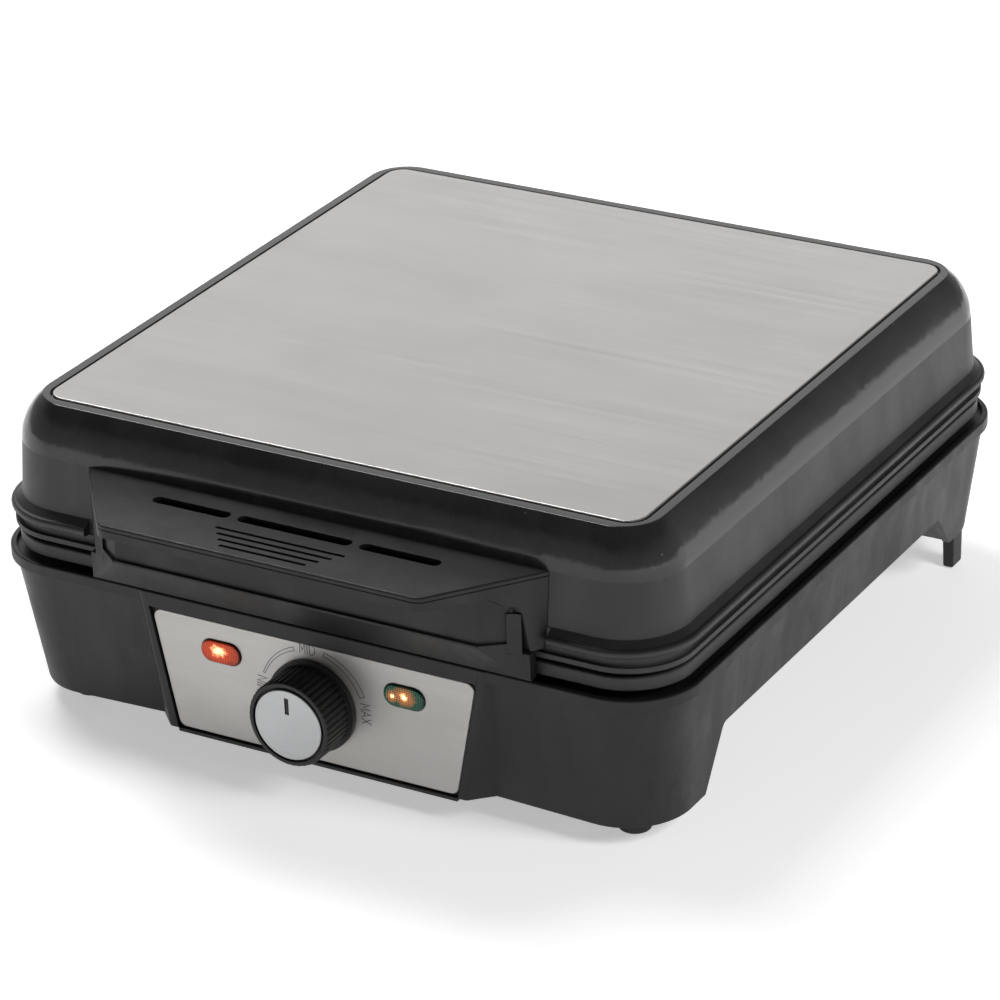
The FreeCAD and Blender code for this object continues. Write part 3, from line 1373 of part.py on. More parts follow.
def make_knob():
    knob = body("knob")
    start = -(D["nose_y"] + 0.7) + 0.45
    skirt = sketch(knob, "XZ_Plane", start, D["knob_z"], "skirt_outline")
    circle(skirt, 0.0, 0.0, D["knob_skirt_radius"])
    pad(knob, skirt, 1.8, "skirt")
    barrel = sketch(knob, "XZ_Plane", start + 1, D["knob_z"], "barrel_outline")
    circle(barrel, 0.0, 0.0, D["knob_radius"])
    pad(knob, barrel, D["knob_long"] - 1, "barrel")
    front = -(start + D["knob_long"])
    fillet(knob, lambda edge: edge.BoundBox.YMax < front.value + 0.05, 0.9, "front_edge")
    recess = sketch(knob, "XZ_Plane", -front, D["knob_z"], "recess_outline")
    circle(recess, 0.0, 0.0, D["knob_cap_radius"] + 0.9)
    pocket(knob, recess, 1.6, "recess")
    flute = sketch(knob, "XZ_Plane", start + 2.4, D["knob_z"], "flute_outline")
    circle(flute, 0.0, D["knob_radius"] + 0.35, 0.8)
    cut = pocket(knob, flute, D["knob_long"] + 2, "flute", reverse=True)
    ring = knob.newObject("PartDesign::PolarPattern", "flutes")
    ring.Originals = [cut]
    ring.Axis = (flute, ["N_Axis"])
    ring.Angle = 360.0
    ring.Occurrences = 44
    knob.Tip = ring
    bore = sketch(knob, "XZ_Plane", start, D["knob_z"], "bore_outline")
    circle(bore, 0.0, 0.0, D["shaft_radius"] + 0.03)
    pocket(knob, bore, 10.0, "bore", reverse=True)

    cap = body("knob_cap")
    outline = sketch(cap, "XZ_Plane", -front - 1.58, D["knob_z"], "outline")
    circle(outline, 0.0, 0.0, D["knob_cap_radius"])
    pad(cap, outline, 1.9, "disc")
    face = front - 0.32
    fillet(cap, lambda edge: edge.BoundBox.YMax < face.value + 0.05, 0.6, "face_edge")
    slot = sketch(cap, "XZ_Plane", -face, D["knob_z"], "pointer_outline")
    box_outline(slot, -0.9, 4.4, 0.9, 10.9)
    pocket(cap, slot, 0.8, "pointer")

    shaft = body("thermostat_shaft")
    outline = sketch(shaft, "XZ_Plane", start + 9, D["knob_z"], "outline")
    circle(outline, 0.0, 0.0, D["shaft_radius"])
    pad(shaft, outline, 24.0, "shaft", reverse=True)


# ---------------------------------------------------------------- feet and screws


def make_feet():
    feet = body("front_feet")
    ground = sketch(feet, "XY_Plane", 0.0, 0.0, "pad_outline")
    stems = sketch(feet, "XY_Plane", 5.0, 0.0, "stem_outline")
    for side in (-1, 1):
        circle(ground, D["foot_x"] * side, D["foot_y"], D["foot_radius"])
        circle(stems, D["foot_x"] * side, D["foot_y"], 2.5)
    tall = D["base_bottom_z"] + 3.85
    pad(feet, ground, tall, "pads", taper=1.0)
    fillet(feet, lambda edge: level(edge, 0.0), 0.9, "ground_edge")
    pad(feet, stems, tall, "stems")

    pegs = body("rear_legs")
    top = D["rear_leg_z"] + 1.45
    head = sketch(pegs, "XY_Plane", top, 0.0, "root_outline")
    for side in (-1, 1):
        x, y = D["peg_x"] * side, D["peg_y"]
        box_outline(head, x - 2.5, y - 4.7, x + 2.5, y + 4.7)
    pad(pegs, head, top, "legs", taper=-0.8, reverse=True)
    fillet(pegs, upright, 1.0, "sides")
    fillet(pegs, lambda edge: level(edge, 0.0), 0.9, "tips")


def make_hinge_screws():
    lid_screws = body("lid_hinge_screws")
    for side in (-1, 1):
        for sign in (-1, 1):
            x, z = side * D["hinge_x"] + 4.2 * sign, D["hinge_z"] + 23.2
            head = sketch(lid_screws, "XZ_Plane", -(D["hinge_y"] - 6.35), 0.0, "head_outline")
            circle(head, x, z, 2.2)
            pad(lid_screws, head, 1.4, "head", reverse=True)

    base_screws = body("base_hinge_screws")
    seat = D["lip_z"] + 2.4
    for side in (-1, 1):
        for sign in (-1, 1):
            x, y = side * D["hinge_x"] + 15 * sign, D["hinge_y"] + 0.5
            head = sketch(base_screws, "XY_Plane", seat + 0.02, 0.0, "head_outline")
            circle(head, x, y, 2.8)
            pad(base_screws, head, 1.5, "head")
            shank = sketch(base_screws, "XY_Plane", seat + 0.5, 0.0, "shank_outline")
            circle(shank, x, y, 1.36)
            pad(base_screws, shank, 9.0, "shank", reverse=True)


# ---------------------------------------------------------------- build, check and export


def build_all():
    make_lid_cover()
    make_trim_plate()
    upper_tub = D["parting_top_z"] + D["upper_cavity"] + D["casting"]
    lower_tub = D["parting_low_z"] - D["lower_cavity"] - D["casting"]
    make_waffle_plate(
        "upper_waffle_plate", D["parting_top_z"], True, D["upper_plate_off"], D["upper_cavity"]
    )
    make_element("upper_heating_element", upper_tub + D["element_radius"])
    make_clamps("upper_element_clamps", upper_tub + D["element_radius"], True)
    make_heat_shield("upper_heat_shield", SHIELD_HIGH_Z, True, -2.0)
    make_handle_top()
    make_handle_frame()
    make_grip_block()
    for side, word in ((-1, "left"), (1, "right")):
        make_hinge_arm(side, word)
        make_hinge_mount(side, word)
        make_hinge_bracket(side, word)
    make_hinge_pins()
    make_hinge_screws()
    make_base_housing()
    make_bottom_cover()
    make_cover_screws()
    make_waffle_plate(
        "lower_waffle_plate", D["parting_low_z"], False, D["lower_plate_off"], D["lower_cavity"]
    )
    make_element("lower_heating_element", lower_tub - D["element_radius"])
    make_clamps("lower_element_clamps", lower_tub - D["element_radius"], False)
    make_heat_shield("lower_heat_shield", SHIELD_LOW_Z, False, -2.0)
    make_standoffs()
    make_bezel()
    make_panel()
    make_lens(-1, "power_lens")
    make_lens(1, "ready_lens")
    make_lamps()
    make_thermostat()
    make_gland()
    make_knob()
    make_feet()


build_all()
doc.recompute()

for item in doc.Objects:
    if "Invalid" in item.State or "Error" in item.State:
        raise RuntimeError(f"{item.Name} did not build")
os.makedirs("parts", exist_ok=True)
for part in PARTS:
    if part.Shape.isNull() or not part.Shape.isValid():
        raise RuntimeError(f"{part.Label} has no valid shape")
    part.Shape.exportStep(f"parts/{part.Label}.step")
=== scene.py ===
import json
import math

import bmesh
import bpy
from mathutils import Matrix, Vector


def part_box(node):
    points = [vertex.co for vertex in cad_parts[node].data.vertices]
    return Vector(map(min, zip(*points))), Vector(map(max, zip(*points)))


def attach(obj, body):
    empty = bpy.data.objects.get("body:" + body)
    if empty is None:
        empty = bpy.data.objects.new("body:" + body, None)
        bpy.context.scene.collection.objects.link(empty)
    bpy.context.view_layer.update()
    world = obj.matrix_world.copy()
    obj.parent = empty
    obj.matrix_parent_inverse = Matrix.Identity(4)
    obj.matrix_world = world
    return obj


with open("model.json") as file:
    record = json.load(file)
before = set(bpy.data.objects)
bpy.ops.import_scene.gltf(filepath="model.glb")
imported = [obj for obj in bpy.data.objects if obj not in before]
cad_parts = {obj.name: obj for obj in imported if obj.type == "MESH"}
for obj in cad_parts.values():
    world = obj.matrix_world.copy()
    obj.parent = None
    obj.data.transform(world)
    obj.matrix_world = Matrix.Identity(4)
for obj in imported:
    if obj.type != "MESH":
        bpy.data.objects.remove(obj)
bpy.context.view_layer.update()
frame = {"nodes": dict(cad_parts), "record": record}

# Waffle maker, in metres, +Z up, front towards -Y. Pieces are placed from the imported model's boxes.

scene = bpy.context.scene
NODES = frame["nodes"]


# ---------------------------------------------------------------- node graph helpers


class Graph:
    """A material's node tree, with short calls for adding and joining nodes."""

    def __init__(self, name):
        self.material = bpy.data.materials.new(name)
        self.material.use_nodes = True
        self.tree = self.material.node_tree
        self.tree.nodes.clear()
        self.place = self.add("ShaderNodeTexCoord").outputs["Object"]

    def add(self, kind, settings=None, **inputs):
        """New node. Inputs are named with _ for a space, or i0, i1 for a numbered socket."""
        node = self.tree.nodes.new(kind)
        for key, value in (settings or {}).items():
            setattr(node, key, value)
        for key, value in inputs.items():
            socket = node.inputs[int(key[1:])] if key[1:].isdigit() else node.inputs[key.replace("_", " ")]
            self.put(socket, value)
        return node

    def put(self, socket, value):
        if isinstance(value, bpy.types.NodeSocket):
            self.tree.links.new(value, socket)
        else:
            socket.default_value = value

    def scaled(self, x, y, z):
        """Object coordinates stretched along each axis."""
        node = self.add("ShaderNodeMapping", Vector=self.place)
        node.inputs["Scale"].default_value = (x, y, z)
        return node.outputs["Vector"]

    def noise(self, scale, detail=3.0, rough=0.5, where=None, distortion=0.0):
        node = self.add("ShaderNodeTexNoise", Vector=where or self.place, Scale=scale, Detail=detail)
        node.inputs["Roughness"].default_value = rough
        node.inputs["Distortion"].default_value = distortion
        return node.outputs["Fac"]

    def span(self, value, low, high, to_low=0.0, to_high=1.0):
        """Maps a value from one range to another, and keeps it inside."""
        node = self.add("ShaderNodeMapRange", i0=value, i1=low, i2=high, i3=to_low, i4=to_high)
        return node.outputs[0]

    def math(self, operation, a, b=0.0):
        return self.add("ShaderNodeMath", {"operation": operation}, i0=a, i1=b).outputs[0]

    def mix(self, factor, a, b):
        node = self.add("ShaderNodeMix", {"data_type": "RGBA"}, i0=factor, i6=a, i7=b)
        return node.outputs[2]

    def bump(self, height, distance, strength=1.0, normal=None):
        node = self.add("ShaderNodeBump", Height=height, Distance=distance, Strength=strength)
        if normal is not None:
            self.put(node.inputs["Normal"], normal)
        return node.outputs["Normal"]

    def rounded(self, radius):
        """Normal that rounds the edges over a radius, and a mask of those edges."""
        soft = self.add("ShaderNodeBevel", {"samples": 4}, Radius=radius).outputs["Normal"]
        hard = self.add("ShaderNodeNewGeometry").outputs["Normal"]
        dot = self.add("ShaderNodeVectorMath", {"operation": "DOT_PRODUCT"}, i0=soft, i1=hard)
        return soft, self.span(dot.outputs["Value"], 0.995, 0.8)

    def shade(self, **inputs):
        """Principled shader and output."""
        surface = self.add("ShaderNodeBsdfPrincipled", **inputs)
        out = self.add("ShaderNodeOutputMaterial")
        self.tree.links.new(surface.outputs["BSDF"], out.inputs["Surface"])
        return self.material


def rgb(r, g, b):
    return (r, g, b, 1.0)


def grey(level, warm=0.0):
    return (level * (1 + warm), level, level * (1 - warm), 1.0)


# ---------------------------------------------------------------- materials

POLISH_Z = 0.1078  # the lid is polished above this height and satin below it
HATCH = 4300.0  # radians of the lens hatch per metre
LENS_STRAIGHT = 0.004  # half length of the lens between its round ends
LENS_CLEAR, LENS_RIM = 0.0039, 0.00445  # clear out to the first distance from that line, dark past the second


def plastic(name, level, rough, grain=2400.0, depth=0.00002, smudge=0.5):
    """Moulded plastic: spark-eroded grain, handling marks that change the gloss, worn edges."""
    g = Graph(name)
    marks = g.noise(26.0, 5.0, 0.62, distortion=0.7)
    streaks = g.noise(1.0, 4.0, 0.6, g.scaled(70.0, 70.0, 16.0), 0.4)
    cloud = g.span(g.math("MULTIPLY", marks, streaks), 0.18, 0.36)
    fine = g.noise(grain, 2.0, 0.6)
    soft, worn = g.rounded(0.0004)
    colour = g.mix(g.math("MULTIPLY", cloud, smudge), grey(level, 0.01), grey(level * 1.5, 0.015))
    colour = g.mix(g.math("MULTIPLY", worn, 0.25), colour, grey(level * 2.2))
    gloss = g.span(cloud, 0.0, 1.0, rough * (1 + 0.22 * smudge), rough * (1 - 0.12 * smudge))
    gloss = g.math("ADD", gloss, g.span(fine, 0.3, 0.7, -0.03, 0.03))
    normal = g.bump(fine, depth, 0.8, soft)
    return g.shade(Base_Color=colour, Roughness=gloss, Normal=normal, IOR=1.42)


def brushed(name, level, rough, warm=0.02, anisotropy=0.55, depth=0.000012, stain=1.0):
    """Brushed stainless steel: fine streaks along X and faint stains."""
    g = Graph(name)
    stretch = (7.0, 2600.0, 2600.0)
    streak = g.noise(1.0, 4.0, 0.65, g.scaled(*stretch))
    broad = g.noise(1.0, 3.0, 0.5, g.scaled(*(value * 0.16 for value in stretch)))
    stains = g.noise(15.0, 6.0, 0.6, distortion=0.5)
    wipe = g.noise(1.0, 4.0, 0.6, g.scaled(9.0, 30.0, 30.0), 0.8)
    cloud = g.span(g.math("MULTIPLY", stains, wipe), 0.17, 0.36)
    dull = g.mix(g.math("MULTIPLY", cloud, 0.55 * stain), grey(level, warm), grey(level * 0.86, warm * 1.6))
    shine = g.mix(g.span(streak, 0.35, 0.65, 0.0, 0.5), dull, grey(level * 0.9, warm))
    gloss = g.span(streak, 0.3, 0.7, rough - 0.05, rough + 0.05)
    gloss = g.math("ADD", gloss, g.span(cloud, 0.0, 1.0, 0.0, 0.07 * stain))
    soft, worn = g.rounded(0.0003)
    lines = g.math("ADD", streak, g.math("MULTIPLY", broad, 0.6))
    normal = g.bump(lines, depth, 0.6, soft)
    axis = g.add("ShaderNodeCombineXYZ", X=1.0, Y=0.0, Z=0.0)
    turned = g.add(
        "ShaderNodeVectorTransform",
        {"vector_type": "VECTOR", "convert_from": "OBJECT", "convert_to": "WORLD"},
        Vector=axis.outputs["Vector"],
    )
    return g.shade(
        Base_Color=g.mix(g.math("MULTIPLY", worn, 0.4), shine, grey(min(level * 1.25, 0.9), warm)),
        Metallic=1.0,
        Roughness=gloss,
        Anisotropic=anisotropy,
        Tangent=turned.outputs["Vector"],
        Normal=normal,
    )


def metal(name, level, rough, warm=0.0, tint=None):
    """Plated or rolled metal with a little tarnish."""
    g = Graph(name)
    tarnish = g.noise(60.0, 5.0, 0.6, distortion=0.5)
    fine = g.noise(1500.0, 3.0, 0.5)
    soft, worn = g.rounded(0.0002)
    dark = tint or grey(level * 0.6, warm * 2)
    colour = g.mix(g.span(tarnish, 0.42, 0.68, 0.0, 0.7), grey(level, warm), dark)
    colour = g.mix(g.math("MULTIPLY", worn, 0.5), colour, grey(min(level * 1.4, 0.9), warm))
    gloss = g.span(tarnish, 0.35, 0.7, rough, rough + 0.16)
    normal = g.bump(fine, 0.00001, 0.3, soft)
    return g.shade(Base_Color=colour, Metallic=1.0, Roughness=gloss, Normal=normal)


def non_stick(name):
    """Die-cast aluminium under a dark non-stick coat: pebbled, with fine pale specks."""
    g = Graph(name)
    cast = g.noise(420.0, 4.0, 0.6)
    pebble = g.add("ShaderNodeTexVoronoi", Vector=g.place, Scale=900.0).outputs["Distance"]
    specks = g.add("ShaderNodeTexVoronoi", Vector=g.place, Scale=700.0).outputs["Distance"]
    cloud = g.noise(30.0, 4.0, 0.6)
    soft, worn = g.rounded(0.0006)
    colour = g.mix(g.span(cloud, 0.4, 0.65), grey(0.018), grey(0.032, 0.02))
    colour = g.mix(g.span(specks, 0.12, 0.06, 0.0, 0.35), colour, grey(0.16))
    colour = g.mix(g.math("MULTIPLY", worn, 0.35), colour, grey(0.11))
    gloss = g.span(cloud, 0.35, 0.65, 0.40, 0.52)
    height = g.math("ADD", cast, g.math("MULTIPLY", pebble, 0.5))
    normal = g.bump(height, 0.00012, 0.7, soft)
    return g.shade(Base_Color=colour, Roughness=gloss, Normal=normal, IOR=1.42)


def rubber(name):
    g = Graph(name)
    fine = g.noise(1200.0, 4.0, 0.6)
    dust = g.noise(90.0, 4.0, 0.6)
    soft, worn = g.rounded(0.0005)
    colour = g.mix(g.span(dust, 0.45, 0.7), grey(0.018), grey(0.05, 0.03))
    colour = g.mix(g.math("MULTIPLY", worn, 0.4), colour, grey(0.07))
    return g.shade(
        Base_Color=colour,
        Roughness=g.span(dust, 0.3, 0.7, 0.72, 0.88),
        Normal=g.bump(fine, 0.00004, 0.7, soft),
    )


def ceramic(name, level, warm):
    g = Graph(name)
    cloud = g.noise(120.0, 4.0, 0.6)
    fine = g.noise(900.0, 3.0, 0.5)
    soft, worn = g.rounded(0.0004)
    colour = g.mix(g.span(cloud, 0.4, 0.65), grey(level, warm), grey(level * 0.86, warm * 1.5))
    colour = g.mix(g.math("MULTIPLY", worn, 0.3), colour, grey(min(level * 1.1, 0.9), warm))
    return g.shade(
        Base_Color=colour,
        Roughness=g.span(cloud, 0.3, 0.7, 0.22, 0.38),
        Normal=g.bump(fine, 0.00002, 0.4, soft),
    )


def ink(name):
    """Printed marks: slightly uneven black ink."""
    g = Graph(name)
    cloud = g.noise(700.0, 3.0, 0.6)
    colour = g.mix(g.span(cloud, 0.4, 0.7), grey(0.015), grey(0.045, 0.02))
    return g.shade(
        Base_Color=colour, Roughness=g.span(cloud, 0.3, 0.7, 0.35, 0.5), Normal=g.bump(cloud, 0.000005, 0.4)
    )


def lid_plastic(name, change_z):
    """Black lid: polished above a height, spark-eroded satin below it."""
    g = Graph(name)
    height = g.add("ShaderNodeSeparateXYZ", Vector=g.place).outputs["Z"]
    polished = g.span(height, change_z - 0.0003, change_z + 0.0003)
    marks = g.noise(24.0, 5.0, 0.62, distortion=0.8)
    streaks = g.noise(1.0, 4.0, 0.6, g.scaled(60.0, 60.0, 18.0), 0.4)
    cloud = g.span(g.math("MULTIPLY", marks, streaks), 0.18, 0.36)
    grain = g.noise(2300.0, 2.0, 0.6)
    dust = g.add("ShaderNodeTexVoronoi", Vector=g.place, Scale=95.0).outputs["Distance"]
    soft, worn = g.rounded(0.0004)
    speck = g.math("MULTIPLY", g.span(dust, 0.05, 0.03), polished)
    colour = g.mix(cloud, grey(0.012), grey(0.017, 0.01))
    colour = g.mix(g.math("MULTIPLY", speck, 0.5), colour, grey(0.12))
    colour = g.mix(g.math("MULTIPLY", worn, 0.2), colour, grey(0.05))
    satin = g.math("ADD", g.span(cloud, 0.0, 1.0, 0.50, 0.44), g.span(grain, 0.3, 0.7, -0.03, 0.03))
    gloss = g.span(cloud, 0.0, 1.0, 0.13, 0.19)
    blend = g.add("ShaderNodeMix", {"data_type": "FLOAT"}, i0=polished, i2=satin, i3=gloss).outputs[0]
    relief = g.math("MULTIPLY", grain, g.span(polished, 0.0, 1.0, 1.0, 0.08))
    return g.shade(Base_Color=colour, Roughness=blend, Normal=g.bump(relief, 0.00002, 0.8, soft), IOR=1.5)


def lamp_lens(name, middle, glass, glow, hot, spots):
    """Prismatic lamp cover, lit from behind: hatched glass, a dark rim and one or more hot spots.

    A spot is (x, z, half width, half height) from the middle of the lens.
    """
    g = Graph(name)
    centre = g.add("ShaderNodeVectorMath", {"operation": "SUBTRACT"}, i0=g.place, i1=middle).outputs[0]
    parts = g.add("ShaderNodeSeparateXYZ", Vector=centre).outputs
    x, z = parts["X"], parts["Z"]
    wobble = g.noise(650.0, 3.0, 0.6)
    core, halo = 0.0, 0.0
    for spot_x, spot_z, wide, tall in spots:
        far_x = g.math("DIVIDE", g.math("SUBTRACT", x, spot_x), wide)
        far_z = g.math("DIVIDE", g.math("SUBTRACT", z, spot_z), tall)
        square = g.math("ADD", g.math("MULTIPLY", far_x, far_x), g.math("MULTIPLY", far_z, far_z))
        reach = g.math("ADD", g.math("SQRT", square), g.span(wobble, 0.3, 0.7, -0.22, 0.22))
        core = g.math("MAXIMUM", core, g.span(reach, 0.75, 0.25))
        halo = g.math("MAXIMUM", halo, g.span(reach, 2.1, 0.6))
    waves = []
    for turn in (1.0, -1.0):
        along = g.math("ADD", x, g.math("MULTIPLY", z, turn))
        waves.append(g.math("SINE", g.math("MULTIPLY", along, HATCH)))
    hatch = g.span(g.math("MULTIPLY", waves[0], waves[1]), -0.2, 0.2)
    over = g.math("MAXIMUM", g.math("SUBTRACT", g.math("ABSOLUTE", x), LENS_STRAIGHT), 0.0)
    edge = g.math("SQRT", g.math("ADD", g.math("MULTIPLY", over, over), g.math("MULTIPLY", z, z)))
    clear = g.span(edge, LENS_RIM, LENS_CLEAR)
    lit = g.math("ADD", 0.22, g.math("MULTIPLY", hatch, 0.78))
    light = g.math("MULTIPLY", halo, g.math("MAXIMUM", lit, g.math("MULTIPLY", core, 0.8)))
    power = g.math("ADD", g.math("MULTIPLY", light, 0.8), g.math("MULTIPLY", core, 1.6))
    dark = rgb(glass[0] * 0.12, glass[1] * 0.12, glass[2] * 0.12)
    colour = g.mix(g.math("MULTIPLY", hatch, clear), dark, glass)
    return g.shade(
        Base_Color=colour,
        Roughness=g.span(wobble, 0.3, 0.7, 0.10, 0.18),
        Coat_Weight=0.3,
        Coat_Roughness=0.03,
        Specular_IOR_Level=0.2,
        Emission_Color=g.mix(core, glow, hot),
        Emission_Strength=g.math("MULTIPLY", power, clear),
        Normal=g.bump(hatch, 0.00006, 0.2),
    )


def middle_of(node):
    low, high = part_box(node)
    return tuple((low + high) / 2)


MATERIALS = {
    "black_plastic": plastic("satin black plastic", 0.007, 0.42, smudge=0.9),
    "lid_plastic": lid_plastic("polished and satin black plastic", POLISH_Z),
    "trim_steel": brushed("brushed steel", 0.585, 0.34, stain=0.35),
    "nonstick_cast": non_stick("non-stick casting"),
    "element_steel": metal("heat-tinted steel", 0.26, 0.38, 0.05, tint=rgb(0.10, 0.07, 0.09)),
    "zinc_steel": metal("zinc plated steel", 0.55, 0.32, -0.01),
    "shield_aluminium": metal("rolled aluminium", 0.75, 0.25, 0.0),
    "screw_steel": metal("screw steel", 0.5, 0.28, 0.01),
    "hinge_steel": plastic("painted hinge steel", 0.022, 0.36, grain=900.0, depth=0.00004),
    "red_lens": lamp_lens(
        "orange lamp lens", middle_of("power_lens"), rgb(0.30, 0.016, 0.003), rgb(1.0, 0.10, 0.006),
        rgb(1.0, 0.74, 0.34), [(-0.0006, 0.0008, 0.0056, 0.0034)],
    ),
    "green_lens": lamp_lens(
        "green lamp lens", middle_of("ready_lens"), rgb(0.003, 0.14, 0.075), rgb(1.0, 0.22, 0.02),
        rgb(1.0, 0.76, 0.38), [(0.0003, 0.0005, 0.0026, 0.0021), (-0.0046, -0.0002, 0.0014, 0.0014)],
    ),
    "lamp_holder": ceramic("lamp holder", 0.72, 0.05),
    "ceramic": ceramic("ceramic", 0.74, 0.06),
    "foot_rubber": rubber("foot rubber"),
    "silver_cap": brushed("knob silver", 0.44, 0.36, warm=-0.01, anisotropy=0.2, depth=0.000008, stain=0.7),
    "gland_plastic": plastic("gland plastic", 0.02, 0.4),
}

slot_of = {part["node"]: part["material_slot"] for part in frame["record"]["subparts"]}


def smooth_group():
    """Geometry nodes that weld a carried-over mesh and shade it smooth between its real edges."""
    group = bpy.data.node_groups.new("weld_and_smooth", "GeometryNodeTree")
    group.interface.new_socket("Geometry", in_out="INPUT", socket_type="NodeSocketGeometry")
    group.interface.new_socket("Geometry", in_out="OUTPUT", socket_type="NodeSocketGeometry")
    nodes, links = group.nodes, group.links
    start, end = nodes.new("NodeGroupInput"), nodes.new("NodeGroupOutput")
    weld = nodes.new("GeometryNodeMergeByDistance")
    weld.inputs["Distance"].default_value = 0.000002
    links.new(start.outputs[0], weld.inputs["Geometry"])
    faces = nodes.new("GeometryNodeSetShadeSmooth")
    faces.domain = "FACE"
    links.new(weld.outputs[0], faces.inputs["Geometry"])
    angle = nodes.new("GeometryNodeInputMeshEdgeAngle")
    sharp = nodes.new("FunctionNodeCompare")
    sharp.operation = "GREATER_THAN"
    sharp.inputs[1].default_value = math.radians(24)
    links.new(angle.outputs["Unsigned Angle"], sharp.inputs[0])
    edges = nodes.new("GeometryNodeSetShadeSmooth")
    edges.domain = "EDGE"
    edges.inputs["Shade Smooth"].default_value = False
    links.new(faces.outputs[0], edges.inputs["Geometry"])
    links.new(sharp.outputs[0], edges.inputs["Selection"])
    links.new(edges.outputs[0], end.inputs[0])
    return group


SMOOTH = smooth_group()


def refine(obj):
    """Even shading for a mesh that keeps its shape."""
    modifier = obj.modifiers.new("weld_and_smooth", "NODES")
    modifier.node_group = SMOOTH
    weighted = obj.modifiers.new("weighted", "WEIGHTED_NORMAL")
    weighted.keep_sharp = True
    weighted.mode = "FACE_AREA"


OWN_FINISH = {"control_panel": brushed("brushed panel steel", 0.43, 0.42, warm=0.03, anisotropy=0.4)}

for name, node in NODES.items():
    node.data.materials.clear()
    node.data.materials.append(OWN_FINISH.get(name, MATERIALS[slot_of[name]]))
    refine(node)


# ---------------------------------------------------------------- printed dial marks and knob pointer

LETTERS = {
    "M": [[(0.0, 0.0), (0.0, 1.0), (0.5, 0.3), (1.0, 1.0), (1.0, 0.0)]],
    "I": [[(0.5, 0.0), (0.5, 1.0)]],
    "D": [[(0.0, 0.0), (0.0, 1.0), (0.55, 1.0), (1.0, 0.75), (1.0, 0.25), (0.55, 0.0), (0.0, 0.0)]],
    "A": [[(0.0, 0.0), (0.5, 1.0), (1.0, 0.0)], [(0.2, 0.36), (0.8, 0.36)]],
    "X": [[(0.0, 0.0), (1.0, 1.0)], [(0.0, 1.0), (1.0, 0.0)]],
    "N": [[(0.0, 0.0), (0.0, 1.0), (1.0, 0.0), (1.0, 1.0)]],
}
WIDTHS = {"I": 0.25}
LETTER_TALL = 0.0041
LETTER_WIDE = 0.0022
LETTER_GAP = 0.0007
LINE = 0.00032
INK_THICK = 0.00004
INK_GAP = 0.00002  # between the panel and the back of the ink
DIAL_RADIUS = 0.0224
POINTER_HALF_WIDE = 0.00086
POINTER_FROM, POINTER_TO = 0.0053, 0.0100  # centres of its round ends, from the knob's axis
POINTER_THICK = 0.0004
POINTER_DEPTH = 0.00035  # its front face, behind the face of the cap


def ribbon(mesh, points, width, closed=False):
    """Flat line of even width through points of the XZ plane, facing -Y at y = 0, with mitred corners."""
    count = len(points)
    left, right = [], []
    for index, point in enumerate(points):
        before = points[index - 1] if index or closed else None
        after = points[(index + 1) % count] if index + 1 < count or closed else None
        ways = []
        if before is not None:
            ways.append((Vector(point) - Vector(before)).normalized())
        if after is not None:
            ways.append((Vector(after) - Vector(point)).normalized())
        way = sum(ways, Vector((0.0, 0.0))).normalized()
        side = Vector((-way.y, way.x))
        stretch = 1.0 / max(abs(side.dot(Vector((-ways[0].y, ways[0].x)))), 0.45)
        offset = side * (width / 2 * stretch)
        for row, sign in ((left, 1), (right, -1)):
            spot = Vector(point) + offset * sign
            row.append([mesh.verts.new((spot.x, y, spot.y)) for y in (-INK_THICK, 0.0)])
    pairs = [(i, (i + 1) % count) for i in range(count if closed else count - 1)]
    for a, b in pairs:
        mesh.faces.new((right[a][0], right[b][0], left[b][0], left[a][0]))
        mesh.faces.new((left[a][0], left[b][0], left[b][1], left[a][1]))
        mesh.faces.new((right[b][0], right[a][0], right[a][1], right[b][1]))


def word_lines(word, middle, angle):
    """Strokes of a word, centred on a point and turned by an angle in degrees."""
    widths = [LETTER_WIDE * WIDTHS.get(letter, 1.0) for letter in word]
    total = sum(widths) + LETTER_GAP * (len(word) - 1)
    turn = Matrix.Rotation(math.radians(angle), 2)
    start = -total / 2
    lines = []
    for letter, wide in zip(word, widths):
        for stroke in LETTERS[letter]:
            local = [Vector((start + px * wide, (pz - 0.5) * LETTER_TALL)) for px, pz in stroke]
            lines.append([tuple(Vector(middle) + turn @ spot) for spot in local])
        start += wide + LETTER_GAP
    return lines


def on_dial(angle, radius=DIAL_RADIUS):
    """Point of the panel at an angle, in degrees, and a distance from the knob's axis."""
    turn = math.radians(angle)
    return (DIAL_X + radius * math.cos(turn), DIAL_Z + radius * math.sin(turn))


def tapered_arc(start, end, start_wide, end_wide, steps=18):
    """Outline of an arc round the knob whose width changes along it."""
    outer, inner = [], []
    for index in range(steps + 1):
        part = index / steps
        angle = start + (end - start) * part
        half = (start_wide + (end_wide - start_wide) * part) / 2
        outer.append(on_dial(angle, DIAL_RADIUS + half))
        inner.append(on_dial(angle, DIAL_RADIUS - half))
    return outer + inner[::-1]


def finish_piece(name, mesh, place, material, body):
    data = bpy.data.meshes.new(name)
    bmesh.ops.recalc_face_normals(mesh, faces=mesh.faces)
    mesh.to_mesh(data)
    mesh.free()
    data.materials.append(material)
    piece = bpy.data.objects.new(name, data)
    piece.location = place
    scene.collection.objects.link(piece)
    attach(piece, body)


knob_low, knob_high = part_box("knob")
panel_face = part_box("control_panel")[0].y
DIAL_X = (knob_low.x + knob_high.x) / 2
DIAL_Z = (knob_low.z + knob_high.z) / 2

